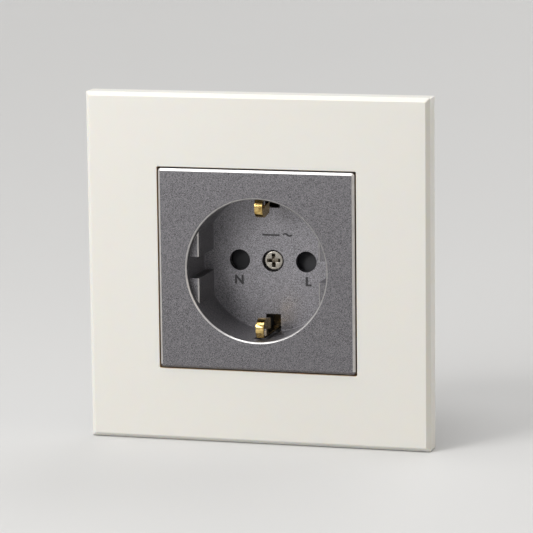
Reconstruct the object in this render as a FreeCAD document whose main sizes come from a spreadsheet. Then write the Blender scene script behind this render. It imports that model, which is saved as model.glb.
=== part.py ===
# A flush-mounted wall socket with side earth clips, in its square cover frame.
# Millimetres. X points right, Z up and +Y into the wall. The wall face is the plane Y = 0,
# and the origin is the middle of the two box screws.
import FreeCAD, Part
import math
import os
import Sketcher

doc = FreeCAD.newDocument("wall_socket")
sheet = doc.addObject("Spreadsheet::Sheet", "sizes")

# Driving dimensions
dimensions = {
    # Cover frame
    "frame_width": 96.0,  # cover frame, outer width and height
    "frame_depth": 6.6,  # cover frame, from the wall to its front face
    "frame_bevel": 1.1,  # bevel round the front of the cover frame
    "frame_wall": 1.8,  # cover frame, front wall and outer skirt
    "opening_gap": 0.35,  # gap between the centre plate and the frame, each side
    "inner_skirt": 1.6,  # skirt round the frame's opening
    "ledge_width": 2.4,  # ledge under the edge of the centre plate
    "ledge_thickness": 1.5,  # thickness of that ledge
    "stiffener_wall": 1.2,  # ribs on the back of the cover frame
    "stiffener_spread": 18.0,  # distance of those ribs from the middle
    "stiffener_gap": 0.3,  # gap between those ribs and the mounting plate

    # Centre plate with the plug recess
    "insert_width": 55.0,  # centre plate, outer width and height
    "insert_proud": 0.65,  # how far it stands out of the cover frame
    "insert_chamfer": 0.65,  # chamfer round its front
    "insert_corner": 0.8,  # its corner radius
    "insert_wall": 2.2,  # its front wall
    "insert_skirt": 4.0,  # depth of its edge
    "skirt_wall": 1.6,  # wall of its edge
    "recess_radius": 19.6,  # plug recess, inner radius
    "recess_depth": 17.5,  # plug recess, depth
    "rim_chamfer": 0.4,  # chamfer round the mouth of the recess
    "pot_wall": 1.7,  # wall round the recess
    "floor_wall": 2.0,  # floor of the recess
    "pin_pitch": 19.0,  # distance between the two pin holes
    "pin_hole_gap": 0.5,  # pin holes in the floor, room round a pin
    "rib_depth": 2.75,  # guide ribs, from the recess wall to their flat
    "rib_setback": 2.5,  # guide ribs, from the face to their front
    "rib_slot": 5.9,  # slot between an upper and a lower guide rib
    "rib_chamfer": 0.35,  # chamfer on the guide ribs
    "clip_slot_gap": 1.0,  # slots for the earth clips, room on each side
    "clip_slot_inset": 4.7,  # inner end of those slots, in from the recess wall
    "channel_depth": 0.9,  # how far those slots cut into the recess wall
    "channel_start": 5.0,  # start of those slots, from the face
    "boss_length": 2.15,  # length of that boss
    "bore_gap": 0.3,  # counterbore of the centre screw, room round its head

    # Centre screw and its nut
    "screw_sunk": 0.8,  # head of the centre screw below the floor
    "head_radius": 2.75,  # head of the centre screw
    "head_height": 1.9,  # height of that head
    "head_dome": 0.45,  # rounded edge of that head
    "shank_radius": 1.5,  # shank of the centre screw
    "shank_length": 9.5,  # length of that shank
    "shank_gap": 0.2,  # gap round the shank where it passes through
    "thread_gap": 0.03,  # gap round a shank in its thread
    "cross_span": 3.8,  # cross recess, tip to tip
    "cross_arm": 0.9,  # cross recess, width of an arm
    "cross_depth": 1.3,  # cross recess, depth
    "nut_width": 5.5,  # square nut, across the flats
    "nut_thickness": 2.4,  # square nut, thickness
    "nut_gap": 0.1,  # gap round the square nut

    # Mounting plate
    "plate_margin": 2.0,  # mounting plate, past the ends of its slots
    "plate_wall": 1.0,  # mounting plate, thickness
    "plate_corner": 4.0,  # mounting plate, corner radius
    "box_pitch": 60.0,  # distance between two box screws
    "box_slot_width": 3.6,  # slots for the box screws
    "box_slot_length": 7.0,  # length of the upper and lower slots
    "side_slot_length": 11.0,  # length of the side slots

    # Tabs of the mounting plate, on one diagonal
    "tab_distance": 2.5,  # inner face of a tab, out from the housing
    "tab_width": 6.0,  # width of a tab
    "tab_foot": 2.0,  # foot of a tab, past its own thickness
    "tab_gap": 0.05,  # gap round a tab in its ear
    "tab_window": 4.6,  # window in the plate that a tab was cut from
    "ear_width": 9.0,  # ears on the housing
    "ear_past": 2.5,  # end of an ear, past its tab
    "ear_length": 3.0,  # length of an ear, from the wall face

    # Contact housing and rear cover
    "pot_gap": 0.4,  # gap round the recess wall, in the housing
    "housing_wall": 1.8,  # wall of the housing round the recess
    "deck_gap": 0.3,  # gap behind the recess floor
    "head_sunk": 0.6,  # terminal screws, inside the flats of the housing
    "corner_past": 2.6,  # slanted corners of the housing, past its flats
    "web_wall": 1.0,  # wall between the slider and the contacts
    "pin_length": 19.0,  # length of a plug's pin
    "pin_room": 0.25,  # room past the end of the pin
    "rear_cover_wall": 2.0,  # rear cover, thickness
    "wire_hole_radius": 1.5,  # wire entries
    "cover_screw_inset": 6.4,  # screws of the rear cover, in from the slanted corners
    "cover_screw_radius": 0.9,  # shank of such a screw
    "cover_screw_length": 7.0,  # length of that shank
    "cover_head_radius": 1.8,  # head of such a screw
    "cover_head_height": 1.1,  # height of that head

    # Earth bridge with both clips
    "earth_strip": 0.6,  # earth strip, thickness
    "arm_width": 8.0,  # arm of the earth strip
    "groove_gap": 0.2,  # gap beside the earth strip
    "clip_width": 2.2,  # nose of a clip
    "leg_width": 2.2,  # outer leg of a clip
    "leg_inset": 1.0,  # inner face of the outer leg, in from the recess wall
    "nose_inset": 5.95,  # inner end of the nose, in from the recess wall
    "nose_setback": 2.5,  # nose, from the face of the centre plate
    "nose_slope": 1.0,  # inner end of the nose, behind its outer end
    "nose_round": 2.2,  # rounding of the nose's inner end
    "nose_edge": 0.9,  # rounding of its outer end
    "heel_inset": 5.0,  # inner end of the clip's flange, in from the recess wall
    "heel_setback": 10.6,  # end of that flange, from the face
    "flange_width": 3.0,  # width of that flange

    # Terminals, on a radius from the middle
    "tail_gap": 1.6,  # gap between the legs of a contact and its tail
    "tail_width": 9.0,  # width of the tail
    "tail_setback": 1.35,  # tails, behind the wall of the slider
    "tail_past_screw": 4.8,  # tails, past the middle of their screws
    "chamber_gap": 0.9,  # room beside a tail in its chamber
    "screw_room": 1.9,  # room inside a tail for the end of its screw
    "wire_room": 2.2,  # gap for the wires under a clamp plate
    "clamp_wall": 1.2,  # clamp plate, thickness
    "clamp_width": 8.6,  # clamp plate, width
    "clamp_height": 7.0,  # clamp plate, height
    "terminal_shank": 1.9,  # shank of a terminal screw
    "terminal_head": 3.2,  # head of a terminal screw
    "terminal_head_height": 2.0,  # height of that head
    "screw_past_tail": 1.1,  # end of a terminal screw past the tail
    "slot_width": 0.8,  # driver slot of a screw
    "slot_depth": 0.9,  # depth of that slot

    # Line and neutral contacts
    "contact_strip": 0.8,  # contact strip, thickness
    "contact_width": 6.0,  # legs of a contact
    "pin_radius": 2.4,  # radius of a plug's pin
    "foot_spread": 0.5,  # legs at the foot, clear of the pin
    "mouth_spread": 0.9,  # legs at the mouth, clear of the pin
    "grip_setback": 2.4,  # grip, behind the mouth of the legs
    "mouth_gap": 0.6,  # gap between the legs and the wall before them
    "contact_room": 0.5,  # room round the contact in its chamber
    "grip_strip": 0.4,  # grip spring, thickness
    "grip_height": 5.0,  # grip spring, height
    "grip_gap": 0.05,  # gap between the grip spring and the legs

    # Slider that closes the pin holes
    "slider_clear": 0.4,  # pads, below a pin at the end of the travel
    "slider_gap": 0.3,  # gap round the slider
    "slider_depth": 3.2,  # depth of the slider's pads
    "pad_overlap": 0.3,  # pads, past a pin hole on each side
    "pad_rise": 0.5,  # pads, past a pin hole at the top
    "ramp_top": 2.0,  # how far the ramp falls back at its top
    "bridge_gap": 0.8,  # bridge, below the earth strip
    "bridge_height": 3.2,  # height of the bridge
    "bridge_depth": 1.3,  # depth of the bridge
    "spring_span": 20.0,  # bow spring, between its two feet
    "spring_strip": 0.25,  # bow spring, thickness
    "spring_width": 1.0,  # bow spring, width
    "spring_crown": 5.0,  # bow spring, flat crown
    "spring_foot": 1.6,  # bow spring, flat feet
}

for row, (alias, value) in enumerate(dimensions.items(), 1):
    sheet.set(f"A{row}", alias)
    sheet.set(f"B{row}", str(value))
    sheet.setAlias(f"B{row}", alias)
doc.recompute()

# Levels, counted from the wall face towards the front
face_level = "(sizes.frame_depth + sizes.insert_proud)"
insert_back = f"({face_level} - sizes.insert_wall)"
skirt_end = f"({face_level} - sizes.insert_skirt)"
ledge_back = f"({skirt_end} - sizes.ledge_thickness)"
floor_level = f"({face_level} - sizes.recess_depth)"
pot_back = f"({floor_level} - sizes.floor_wall)"
deck_level = f"({pot_back} - sizes.deck_gap)"
strip_front = f"({pot_back} - sizes.boss_length)"
strip_back = f"({strip_front} - sizes.earth_strip)"
seat_level = f"({floor_level} - sizes.screw_sunk - sizes.head_height)"
slider_front = f"({deck_level} - sizes.slider_gap)"
slider_back = f"({slider_front} - sizes.slider_depth)"
pocket_floor = f"({slider_back} - sizes.slider_gap)"
web_back = f"({pocket_floor} - sizes.web_wall)"
foot_front = f"({floor_level} - sizes.pin_length - sizes.pin_room)"
housing_back = f"({foot_front} - sizes.contact_strip)"
cover_back = f"({housing_back} - sizes.rear_cover_wall)"
tail_front = f"({web_back} - sizes.tail_setback)"
terminal_screw_level = f"({tail_front} - sizes.tail_past_screw)"
chamber_front = f"({tail_front} + sizes.chamber_gap)"

# Radii and half widths, counted from the middle
opening_half = "(sizes.insert_width / 2 + sizes.opening_gap)"
plate_half = "(sizes.box_pitch / 2 + sizes.box_slot_length / 2 + sizes.plate_margin)"
pot_outer = "(sizes.recess_radius + sizes.pot_wall)"
cup_inner = f"({pot_outer} + sizes.pot_gap)"
housing_outer = f"({cup_inner} + sizes.housing_wall)"
rib_flat = "(sizes.recess_radius - sizes.rib_depth)"
slot_outer = "(sizes.recess_radius + sizes.channel_depth)"
clip_slot_inner = "(sizes.recess_radius - sizes.clip_slot_inset)"
clip_slot_half = "(sizes.leg_width / 2 + sizes.clip_slot_gap)"
leg_radius = "(sizes.recess_radius - sizes.leg_inset)"
leg_outer = f"({leg_radius} + sizes.earth_strip)"
nose_radius = "(sizes.recess_radius - sizes.nose_inset)"
heel_radius = "(sizes.recess_radius - sizes.heel_inset)"
screw_bore_radius = "(sizes.head_radius + sizes.bore_gap)"
pin_x = "(sizes.pin_pitch / 2)"
pin_hole_radius = "(sizes.pin_radius + sizes.pin_hole_gap)"
fork_reach = "(sizes.pin_radius + sizes.mouth_spread + sizes.contact_strip + sizes.grip_strip)"
tail_radius = f"({pin_x} + {fork_reach} + sizes.tail_gap)"
tail_outer = f"({tail_radius} + sizes.contact_strip)"
clamp_inner = f"({tail_outer} + sizes.wire_room)"
clamp_outer = f"({clamp_inner} + sizes.clamp_wall)"
wire_radius = f"({tail_outer} + sizes.wire_room / 2)"
wire_hole_spread = "(sizes.terminal_shank + sizes.wire_hole_radius)"
chamber_half = "(sizes.tail_width / 2 + sizes.chamber_gap)"
terminal_flat = f"({clamp_outer} + sizes.terminal_head_height + sizes.head_sunk)"
corner_flat = f"({terminal_flat} + sizes.corner_past)"
cover_screw_circle = f"({corner_flat} - sizes.cover_screw_inset)"
tab_radius = f"({housing_outer} + sizes.tab_distance)"
tab_outer = f"({tab_radius} + sizes.plate_wall)"
ear_reach = f"({tab_outer} + sizes.ear_past)"

# The slider, its travel and its pocket, counted from the middle of the pin holes
pad_half = f"({pin_hole_radius} + sizes.pad_overlap)"
pad_top = f"({pin_hole_radius} + sizes.pad_rise)"
slider_travel = f"({pad_top} + sizes.pin_radius + sizes.slider_clear)"
bridge_drop = "(sizes.arm_width / 2 + sizes.bridge_gap)"
bridge_foot = f"({bridge_drop} + sizes.bridge_height)"
pocket_end = f"({bridge_foot} + {slider_travel} + sizes.slider_gap)"


def value_of(expression):
    """Work out an expression of the sheet's sizes, in millimetres."""
    result = sheet.evalExpression(expression)
    return float(getattr(result, "Value", result))


def new_body(label):
    """Start a sub-part whose label names its file."""
    body = doc.addObject("PartDesign::Body", label)
    body.Label = label
    return body


def new_sketch(body, role, offset):
    """Start a sketch on one of the body's own origin planes, moved along its normal."""
    plane = next(part for part in body.Origin.OriginFeatures if part.Role == role)
    sketch = body.newObject("Sketcher::SketchObject", f"{body.Label}_sketch")
    sketch.AttachmentSupport = [(plane, "")]
    sketch.MapMode = "FlatFace"
    sketch.setExpression("AttachmentOffset.Base.z", offset)
    return sketch


def bind(sketch, kind, arguments, expression):
    """Add a dimension to a sketch and tie it to the sheet."""
    constraint = Sketcher.Constraint(kind, *arguments, value_of(expression))
    index = sketch.addConstraint(constraint)
    name = f"{kind}{index}"
    sketch.renameConstraint(index, name)
    sketch.setExpression(f"Constraints.{name}", expression)


def hold(sketch, edge, point, across, along):
    """Hold a point of an edge at its two coordinates."""
    for kind, axis, expression in (("DistanceX", -2, across), ("DistanceY", -1, along)):
        if expression == "0":
            sketch.addConstraint(Sketcher.Constraint("PointOnObject", edge, point, axis))
        else:
            bind(sketch, kind, (-1, 1, edge, point), expression)


def outline(sketch, corners):
    """Draw a closed outline of straight edges through the corners."""
    spots = [FreeCAD.Vector(value_of(across), value_of(along), 0) for across, along in corners]
    first = sketch.GeometryCount
    for start, end in zip(spots, spots[1:] + spots[:1]):
        sketch.addGeometry(Part.LineSegment(start, end))
    for number, (across, along) in enumerate(corners):
        following = (number + 1) % len(corners)
        sketch.addConstraint(Sketcher.Constraint("Coincident", first + number, 2, first + following, 1))
        hold(sketch, first + number, 1, across, along)


def rectangle(sketch, left, right, bottom, top):
    """Draw a rectangle between two pairs of coordinates."""
    outline(sketch, [(left, bottom), (right, bottom), (right, top), (left, top)])


def square(sketch, half_width):
    """Draw a square about the middle."""
    rectangle(sketch, f"-{half_width}", half_width, f"-{half_width}", half_width)


def rounded_square(sketch, half_width, radius):
    """Draw a square about the middle, with round corners."""
    reach = f"({half_width} - {radius})"
    arcs = []
    for number, (across, along) in enumerate((("", ""), ("-", ""), ("-", "-"), ("", "-"))):
        spot = (f"{across}{reach}", f"{along}{reach}")
        middle = FreeCAD.Vector(value_of(spot[0]), value_of(spot[1]), 0)
        round_corner = Part.Circle(middle, FreeCAD.Vector(0, 0, 1), value_of(radius))
        start = number * math.pi / 2
        arcs.append(sketch.addGeometry(Part.ArcOfCircle(round_corner, start, start + math.pi / 2)))
        hold(sketch, arcs[number], 3, *spot)
        bind(sketch, "Radius", (arcs[number],), radius)
    for number, arc in enumerate(arcs):
        following = arcs[(number + 1) % len(arcs)]
        line = sketch.addGeometry(Part.LineSegment(sketch.getPoint(arc, 2), sketch.getPoint(following, 1)))
        sketch.addConstraint(Sketcher.Constraint("Tangent", arc, 2, line, 1))
        sketch.addConstraint(Sketcher.Constraint("Tangent", line, 2, following, 1))


def circle(sketch, across, along, radius):
    """Draw a circle."""
    middle = FreeCAD.Vector(value_of(across), value_of(along), 0)
    edge = sketch.addGeometry(Part.Circle(middle, FreeCAD.Vector(0, 0, 1), value_of(radius)))
    hold(sketch, edge, 3, across, along)
    bind(sketch, "Radius", (edge,), radius)


def slot(sketch, across, along, length, width, upright):
    """Draw a slot with round ends about a middle point."""
    reach = f"(({length} - {width}) / 2)"
    radius = f"({width} / 2)"
    ends = []
    for sign in ("-", "+"):
        if upright:
            ends.append((across, f"({along} {sign} {reach})"))
        else:
            ends.append((f"({across} {sign} {reach})", along))
    first_turn = math.pi if upright else math.pi / 2
    arcs = []
    for number, end in enumerate(ends):
        middle = FreeCAD.Vector(value_of(end[0]), value_of(end[1]), 0)
        round_end = Part.Circle(middle, FreeCAD.Vector(0, 0, 1), value_of(radius))
        start = first_turn + number * math.pi
        arcs.append(sketch.addGeometry(Part.ArcOfCircle(round_end, start, start + math.pi)))
        hold(sketch, arcs[number], 3, *end)
        bind(sketch, "Radius", (arcs[number],), radius)
    for number, arc in enumerate(arcs):
        other = arcs[1 - number]
        start = sketch.getPoint(arc, 2)
        end = sketch.getPoint(other, 1)
        line = sketch.addGeometry(Part.LineSegment(start, end))
        sketch.addConstraint(Sketcher.Constraint("Tangent", arc, 2, line, 1))
        sketch.addConstraint(Sketcher.Constraint("Tangent", line, 2, other, 1))


def pad(body, sketch, length, backwards=False):
    """Raise a sketch along its normal, or against it."""
    feature = body.newObject("PartDesign::Pad", f"{body.Label}_pad")
    feature.Profile = sketch
    feature.Reversed = backwards
    feature.setExpression("Length", length)
    return feature


def pocket(body, sketch, length, forwards=False):
    """Cut a sketch against its normal, or along it."""
    feature = body.newObject("PartDesign::Pocket", f"{body.Label}_pocket")
    feature.Profile = sketch
    feature.Reversed = forwards
    feature.setExpression("Length", length)
    return feature


def raise_front(body, back, front, draw):
    """Add material between two levels, from a sketch that faces the front."""
    sketch = new_sketch(body, "XZ_Plane", back)
    draw(sketch)
    return pad(body, sketch, f"{front} - {back}")


def cut_front(body, front, back, draw):
    """Cut between two levels, from a sketch that faces the front."""
    sketch = new_sketch(body, "XZ_Plane", front)
    draw(sketch)
    return pocket(body, sketch, f"{front} - {back}")


def cut_rear(body, back, front, draw):
    """Cut between two levels, starting at the rear one."""
    sketch = new_sketch(body, "XZ_Plane", back)
    draw(sketch)
    return pocket(body, sketch, f"{front} - {back}", forwards=True)


def raise_side(body, start, width, draw):
    """Add material along X, from a sketch of Y and Z."""
    sketch = new_sketch(body, "YZ_Plane", start)
    draw(sketch)
    return pad(body, sketch, width)


def raise_up(body, start, height, draw):
    """Add material along Z, from a sketch of X and Y."""
    sketch = new_sketch(body, "XY_Plane", start)
    draw(sketch)
    return pad(body, sketch, height)


def turn_about_y(body, corners):
    """Revolve an outline of level and radius about the Y axis."""
    sketch = new_sketch(body, "YZ_Plane", "0")
    outline(sketch, [(f"-({level})", radius) for level, radius in corners])
    feature = body.newObject("PartDesign::Revolution", f"{body.Label}_turned")
    feature.Profile = sketch
    feature.ReferenceAxis = (sketch, ["H_Axis"])
    feature.Angle = 360
    return feature


def edge_names(feature, wanted):
    """Name the edges of a feature that meet a test."""
    doc.recompute()
    return [f"Edge{number}" for number, edge in enumerate(feature.Shape.Edges, 1) if wanted(edge)]


def dress(body, kind, feature, names, amount):
    """Chamfer or fillet named edges of the body's last feature."""
    finish = body.newObject(f"PartDesign::{kind}", f"{body.Label}_{kind.lower()}")
    finish.Base = (feature, names)
    finish.setExpression("Size" if kind == "Chamfer" else "Radius", amount)
    return finish


def near(first, second, room=0.001):
    """Tell whether two lengths are the same."""
    return abs(first - second) < room


def lies_at_level(edge, level):
    """Tell whether a whole edge lies at one level before the wall."""
    box = edge.BoundBox
    return near(box.YMin, -level) and near(box.YMax, -level)


def cover_frame():
    """The cover frame: a bevelled front with skirts, a ledge and ribs behind it."""
    body = new_body("cover_frame")
    outer = "(sizes.frame_width / 2)"
    inner = f"({outer} - sizes.frame_wall)"
    front = "sizes.frame_depth"
    front_back = f"({front} - sizes.frame_wall)"
    collar = f"({opening_half} + sizes.inner_skirt)"
    shoulder = f"({front} - sizes.frame_bevel)"
    raise_front(body, "0", shoulder, lambda sketch: square(sketch, outer))
    base = new_sketch(body, "XZ_Plane", shoulder)
    square(base, outer)
    face = new_sketch(body, "XZ_Plane", front)
    square(face, f"({outer} - sizes.frame_bevel)")
    bevel = body.newObject("PartDesign::AdditiveLoft", "cover_frame_bevel")
    bevel.Profile = base
    bevel.Sections = [face]
    bevel.Ruled = True

    # Hollow back between the outer skirt and the collar round the opening
    def hollow(sketch):
        square(sketch, inner)
        square(sketch, collar)

    cut_rear(body, "0", front_back, hollow)
    plate_face = "sizes.plate_wall"
    cut_rear(body, "0", plate_face, lambda sketch: square(sketch, collar))
    cut_front(body, front, skirt_end, lambda sketch: square(sketch, opening_half))
    through = f"({opening_half} - sizes.ledge_width)"
    cut_front(body, front, "0", lambda sketch: square(sketch, through))
    cut_rear(body, "0", ledge_back, lambda sketch: square(sketch, opening_half))

    # Ribs from the collar to the outer skirt, two on each side
    rib_back = "(sizes.plate_wall + sizes.stiffener_gap)"
    rib_half = "sizes.stiffener_wall / 2"
    for side in ("-", ""):
        for place in ("-", ""):
            low = f"{place}sizes.stiffener_spread - {rib_half}"
            high = f"{place}sizes.stiffener_spread + {rib_half}"
            start = f"({collar} - {rib_half})"
            end = f"({inner} + {rib_half})"
            for flat in (True, False):
                span = sorted((f"{side}{start}", f"{side}{end}"), key=value_of)

                def rib(sketch, flat=flat, span=span, low=low, high=high):
                    sides = (*span, low, high) if flat else (low, high, *span)
                    rectangle(sketch, *sides)

                raise_front(body, rib_back, f"({front_back} + {rib_half})", rib)
    return body


def rib_sector(sketch, across_sign, along_sign):
    """Draw a guide rib: a flat, the side of the slot and an arc inside the recess wall."""
    bound = "(sizes.recess_radius + sizes.pot_wall / 2)"
    flat = f"{across_sign}{rib_flat}"
    side = f"{along_sign}(sizes.rib_slot / 2)"
    radius = value_of(bound)
    corner = FreeCAD.Vector(value_of(flat), value_of(side), 0)
    low = FreeCAD.Vector(math.copysign(math.sqrt(radius ** 2 - corner.y ** 2), corner.x), corner.y, 0)
    high = FreeCAD.Vector(corner.x, math.copysign(math.sqrt(radius ** 2 - corner.x ** 2), corner.y), 0)
    middle = FreeCAD.Vector(0, 0, 0)
    level_line = sketch.addGeometry(Part.LineSegment(corner, low))
    flat_line = sketch.addGeometry(Part.LineSegment(high, corner))
    turns = [math.atan2(point.y, point.x) for point in (low, high)]
    if turns[1] - turns[0] > math.pi:
        turns[0] += 2 * math.pi
    if turns[0] - turns[1] > math.pi:
        turns[1] += 2 * math.pi
    full = Part.Circle(middle, FreeCAD.Vector(0, 0, 1), radius)
    arc = sketch.addGeometry(Part.ArcOfCircle(full, min(turns), max(turns)))
    low_end, high_end = (1, 2) if turns[0] < turns[1] else (2, 1)
    hold(sketch, level_line, 1, flat, side)
    sketch.addConstraint(Sketcher.Constraint("Horizontal", level_line))
    sketch.addConstraint(Sketcher.Constraint("Vertical", flat_line))
    sketch.addConstraint(Sketcher.Constraint("Coincident", flat_line, 2, level_line, 1))
    sketch.addConstraint(Sketcher.Constraint("Coincident", arc, 3, -1, 1))
    sketch.addConstraint(Sketcher.Constraint("Coincident", level_line, 2, arc, low_end))
    sketch.addConstraint(Sketcher.Constraint("Coincident", flat_line, 1, arc, high_end))
    bind(sketch, "Radius", (arc,), bound)


def centre_plate():
    """The centre plate: a square front with the plug recess, its ribs, floor and boss."""
    body = new_body("centre_plate")
    outer = "(sizes.insert_width / 2)"
    inner = f"({outer} - sizes.skirt_wall)"
    block = raise_front(body, skirt_end, face_level,
                        lambda sketch: rounded_square(sketch, outer, "sizes.insert_corner"))
    rim = edge_names(block, lambda edge: lies_at_level(edge, value_of(face_level)))
    dress(body, "Chamfer", block, rim, "sizes.insert_chamfer")
    cut_rear(body, skirt_end, insert_back, lambda sketch: square(sketch, inner))

    # Pot behind the plate, and the recess in it
    raise_front(body, pot_back, f"({insert_back} + sizes.insert_wall / 2)",
                lambda sketch: circle(sketch, "0", "0", pot_outer))
    recess = cut_front(body, face_level, floor_level,
                       lambda sketch: circle(sketch, "0", "0", "sizes.recess_radius"))
    mouth = edge_names(recess, lambda edge: lies_at_level(edge, value_of(face_level))
                       and near(edge.BoundBox.XLength, 2 * value_of("sizes.recess_radius")))
    dress(body, "Chamfer", recess, mouth, "sizes.rim_chamfer")

    # Four guide ribs with a slot between each pair
    rib_front = f"({face_level} - sizes.rib_setback)"
    rib_root = f"({floor_level} - sizes.floor_wall / 2)"
    for across_sign in ("-", ""):
        for along_sign in ("-", ""):
            ribs = raise_front(body, rib_root, rib_front,
                               lambda sketch: rib_sector(sketch, across_sign, along_sign))
    front_edges = edge_names(ribs, lambda edge: lies_at_level(edge, value_of(rib_front))
                             and near(abs(edge.BoundBox.Center.x), value_of(rib_flat)))
    dress(body, "Chamfer", ribs, front_edges, "sizes.rib_chamfer")

    # Boss and counterbore of the centre screw
    raise_front(body, strip_front, pot_back, lambda sketch: square(sketch, "(sizes.arm_width / 2)"))
    cut_front(body, floor_level, seat_level,
              lambda sketch: circle(sketch, "0", "0", screw_bore_radius))
    passing = "(sizes.shank_radius + sizes.shank_gap)"
    cut_front(body, seat_level, strip_front, lambda sketch: circle(sketch, "0", "0", passing))

    def pin_holes(sketch):
        circle(sketch, f"-{pin_x}", "0", pin_hole_radius)
        circle(sketch, pin_x, "0", pin_hole_radius)

    cut_front(body, floor_level, pot_back, pin_holes)

    # Slots for the earth clips, through the floor and up the recess wall
    channel_top = f"({face_level} - sizes.channel_start)"
    inside_wall = "(sizes.recess_radius - sizes.channel_depth)"

    def floor_slots(sketch):
        rectangle(sketch, f"-{clip_slot_half}", clip_slot_half, clip_slot_inner, slot_outer)
        rectangle(sketch, f"-{clip_slot_half}", clip_slot_half, f"-{slot_outer}", f"-{clip_slot_inner}")

    def wall_channels(sketch):
        rectangle(sketch, f"-{clip_slot_half}", clip_slot_half, inside_wall, slot_outer)
        rectangle(sketch, f"-{clip_slot_half}", clip_slot_half, f"-{slot_outer}", f"-{inside_wall}")

    cut_front(body, channel_top, floor_level, wall_channels)
    cut_front(body, floor_level, pot_back, floor_slots)
    return body


def centre_screw():
    """The screw at the middle of the recess floor, with its cross recess."""
    body = new_body("centre_screw")
    top = f"({floor_level} - sizes.screw_sunk)"
    head = "sizes.head_radius"
    turn_about_y(body, [
        (top, "0"),
        (top, f"({head} - sizes.head_dome)"),
        (f"({top} - sizes.head_dome)", head),
        (seat_level, head),
        (seat_level, "sizes.shank_radius"),
        (f"({seat_level} - sizes.shank_length)", "sizes.shank_radius"),
        (f"({seat_level} - sizes.shank_length)", "0"),
    ])
    reach = "(sizes.cross_span / 2)"
    arm = "(sizes.cross_arm / 2)"

    def cross(sketch):
        outline(sketch, [
            (f"-{reach}", f"-{arm}"), (f"-{arm}", f"-{arm}"), (f"-{arm}", f"-{reach}"),
            (arm, f"-{reach}"), (arm, f"-{arm}"), (reach, f"-{arm}"),
            (reach, arm), (arm, arm), (arm, reach),
            (f"-{arm}", reach), (f"-{arm}", arm), (f"-{reach}", arm),
        ])

    cut_front(body, top, f"({top} - sizes.cross_depth)", cross)
    return body


def screw_nut():
    """The square nut behind the earth strip."""
    body = new_body("screw_nut")

    def face(sketch):
        square(sketch, "(sizes.nut_width / 2)")
        circle(sketch, "0", "0", "(sizes.shank_radius + sizes.thread_gap)")

    raise_front(body, f"({strip_back} - sizes.nut_thickness)", strip_back, face)
    return body


def mounting_plate():
    """The steel plate with slots for the box screws, behind the cover frame."""
    body = new_body("mounting_plate")
    box_reach = "(sizes.box_pitch / 2)"
    raise_front(body, "0", "sizes.plate_wall",
                lambda sketch: rounded_square(sketch, plate_half, "sizes.plate_corner"))

    cut_front(body, "sizes.plate_wall", "0", lambda sketch: circle(sketch, "0", "0", cup_inner))

    def holes(sketch):
        for sign in ("-", ""):
            slot(sketch, "0", f"{sign}{box_reach}", "sizes.box_slot_length", "sizes.box_slot_width", True)
            slot(sketch, f"{sign}{box_reach}", "0", "sizes.side_slot_length", "sizes.box_slot_width", True)
        both_diagonals(sketch, tab_outer, f"({tab_outer} + sizes.tab_window)", "(sizes.tab_width / 2)")

    cut_front(body, "sizes.plate_wall", "0", holes)

    # Two tabs bent back from their windows, each with a foot folded out behind its ear
    foot_back = "-(sizes.ear_length + sizes.plate_wall)"
    raise_front(body, foot_back, "sizes.plate_wall",
                lambda sketch: both_diagonals(sketch, tab_radius, tab_outer, "(sizes.tab_width / 2)"))
    raise_front(body, foot_back, "-sizes.ear_length",
                lambda sketch: both_diagonals(sketch, tab_outer, f"({tab_outer} + sizes.tab_foot)",
                                              "(sizes.tab_width / 2)"))
    return body


def both_diagonals(sketch, near_end, far_end, half_width):
    """Draw two rectangles that lie along one diagonal, one on each side of the middle."""
    for sign in ("", "-"):
        corners = []
        for end, side in ((near_end, "-"), (far_end, "-"), (far_end, "+"), (near_end, "+")):
            other = "+" if side == "-" else "-"
            corners.append((f"{sign}(({end} {side} {half_width}) * sqrt(2) / 2)",
                            f"{sign}(({end} {other} {half_width}) * sqrt(2) / 2)"))
        outline(sketch, corners)


def cover_screw_circles(sketch, radius):
    """Draw circles where the two screws of the rear cover are, on the other diagonal."""
    reach = f"({cover_screw_circle} * sqrt(2) / 2)"
    circle(sketch, f"-{reach}", reach, radius)
    circle(sketch, reach, f"-{reach}", radius)


def terminal_turn(sketch, turn, low_radius, high_radius, half_width):
    """Draw a rectangle on a terminal's radius: 0 is line, 1 earth and 2 neutral."""
    if turn == 0:
        rectangle(sketch, low_radius, high_radius, f"-{half_width}", half_width)
    if turn == 1:
        rectangle(sketch, f"-{half_width}", half_width, low_radius, high_radius)
    if turn == 2:
        rectangle(sketch, f"-{high_radius}", f"-{low_radius}", f"-{half_width}", half_width)


def octagon(sketch):
    """Draw the outline of the housing's rear part: flats with slanted corners."""
    slant = f"({corner_flat} * sqrt(2) - {terminal_flat})"
    outline(sketch, [
        (terminal_flat, f"-{slant}"), (terminal_flat, slant),
        (slant, terminal_flat), (f"-{slant}", terminal_flat),
        (f"-{terminal_flat}", slant), (f"-{terminal_flat}", f"-{slant}"),
        (f"-{slant}", f"-{terminal_flat}"), (slant, f"-{terminal_flat}"),
    ])


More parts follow.
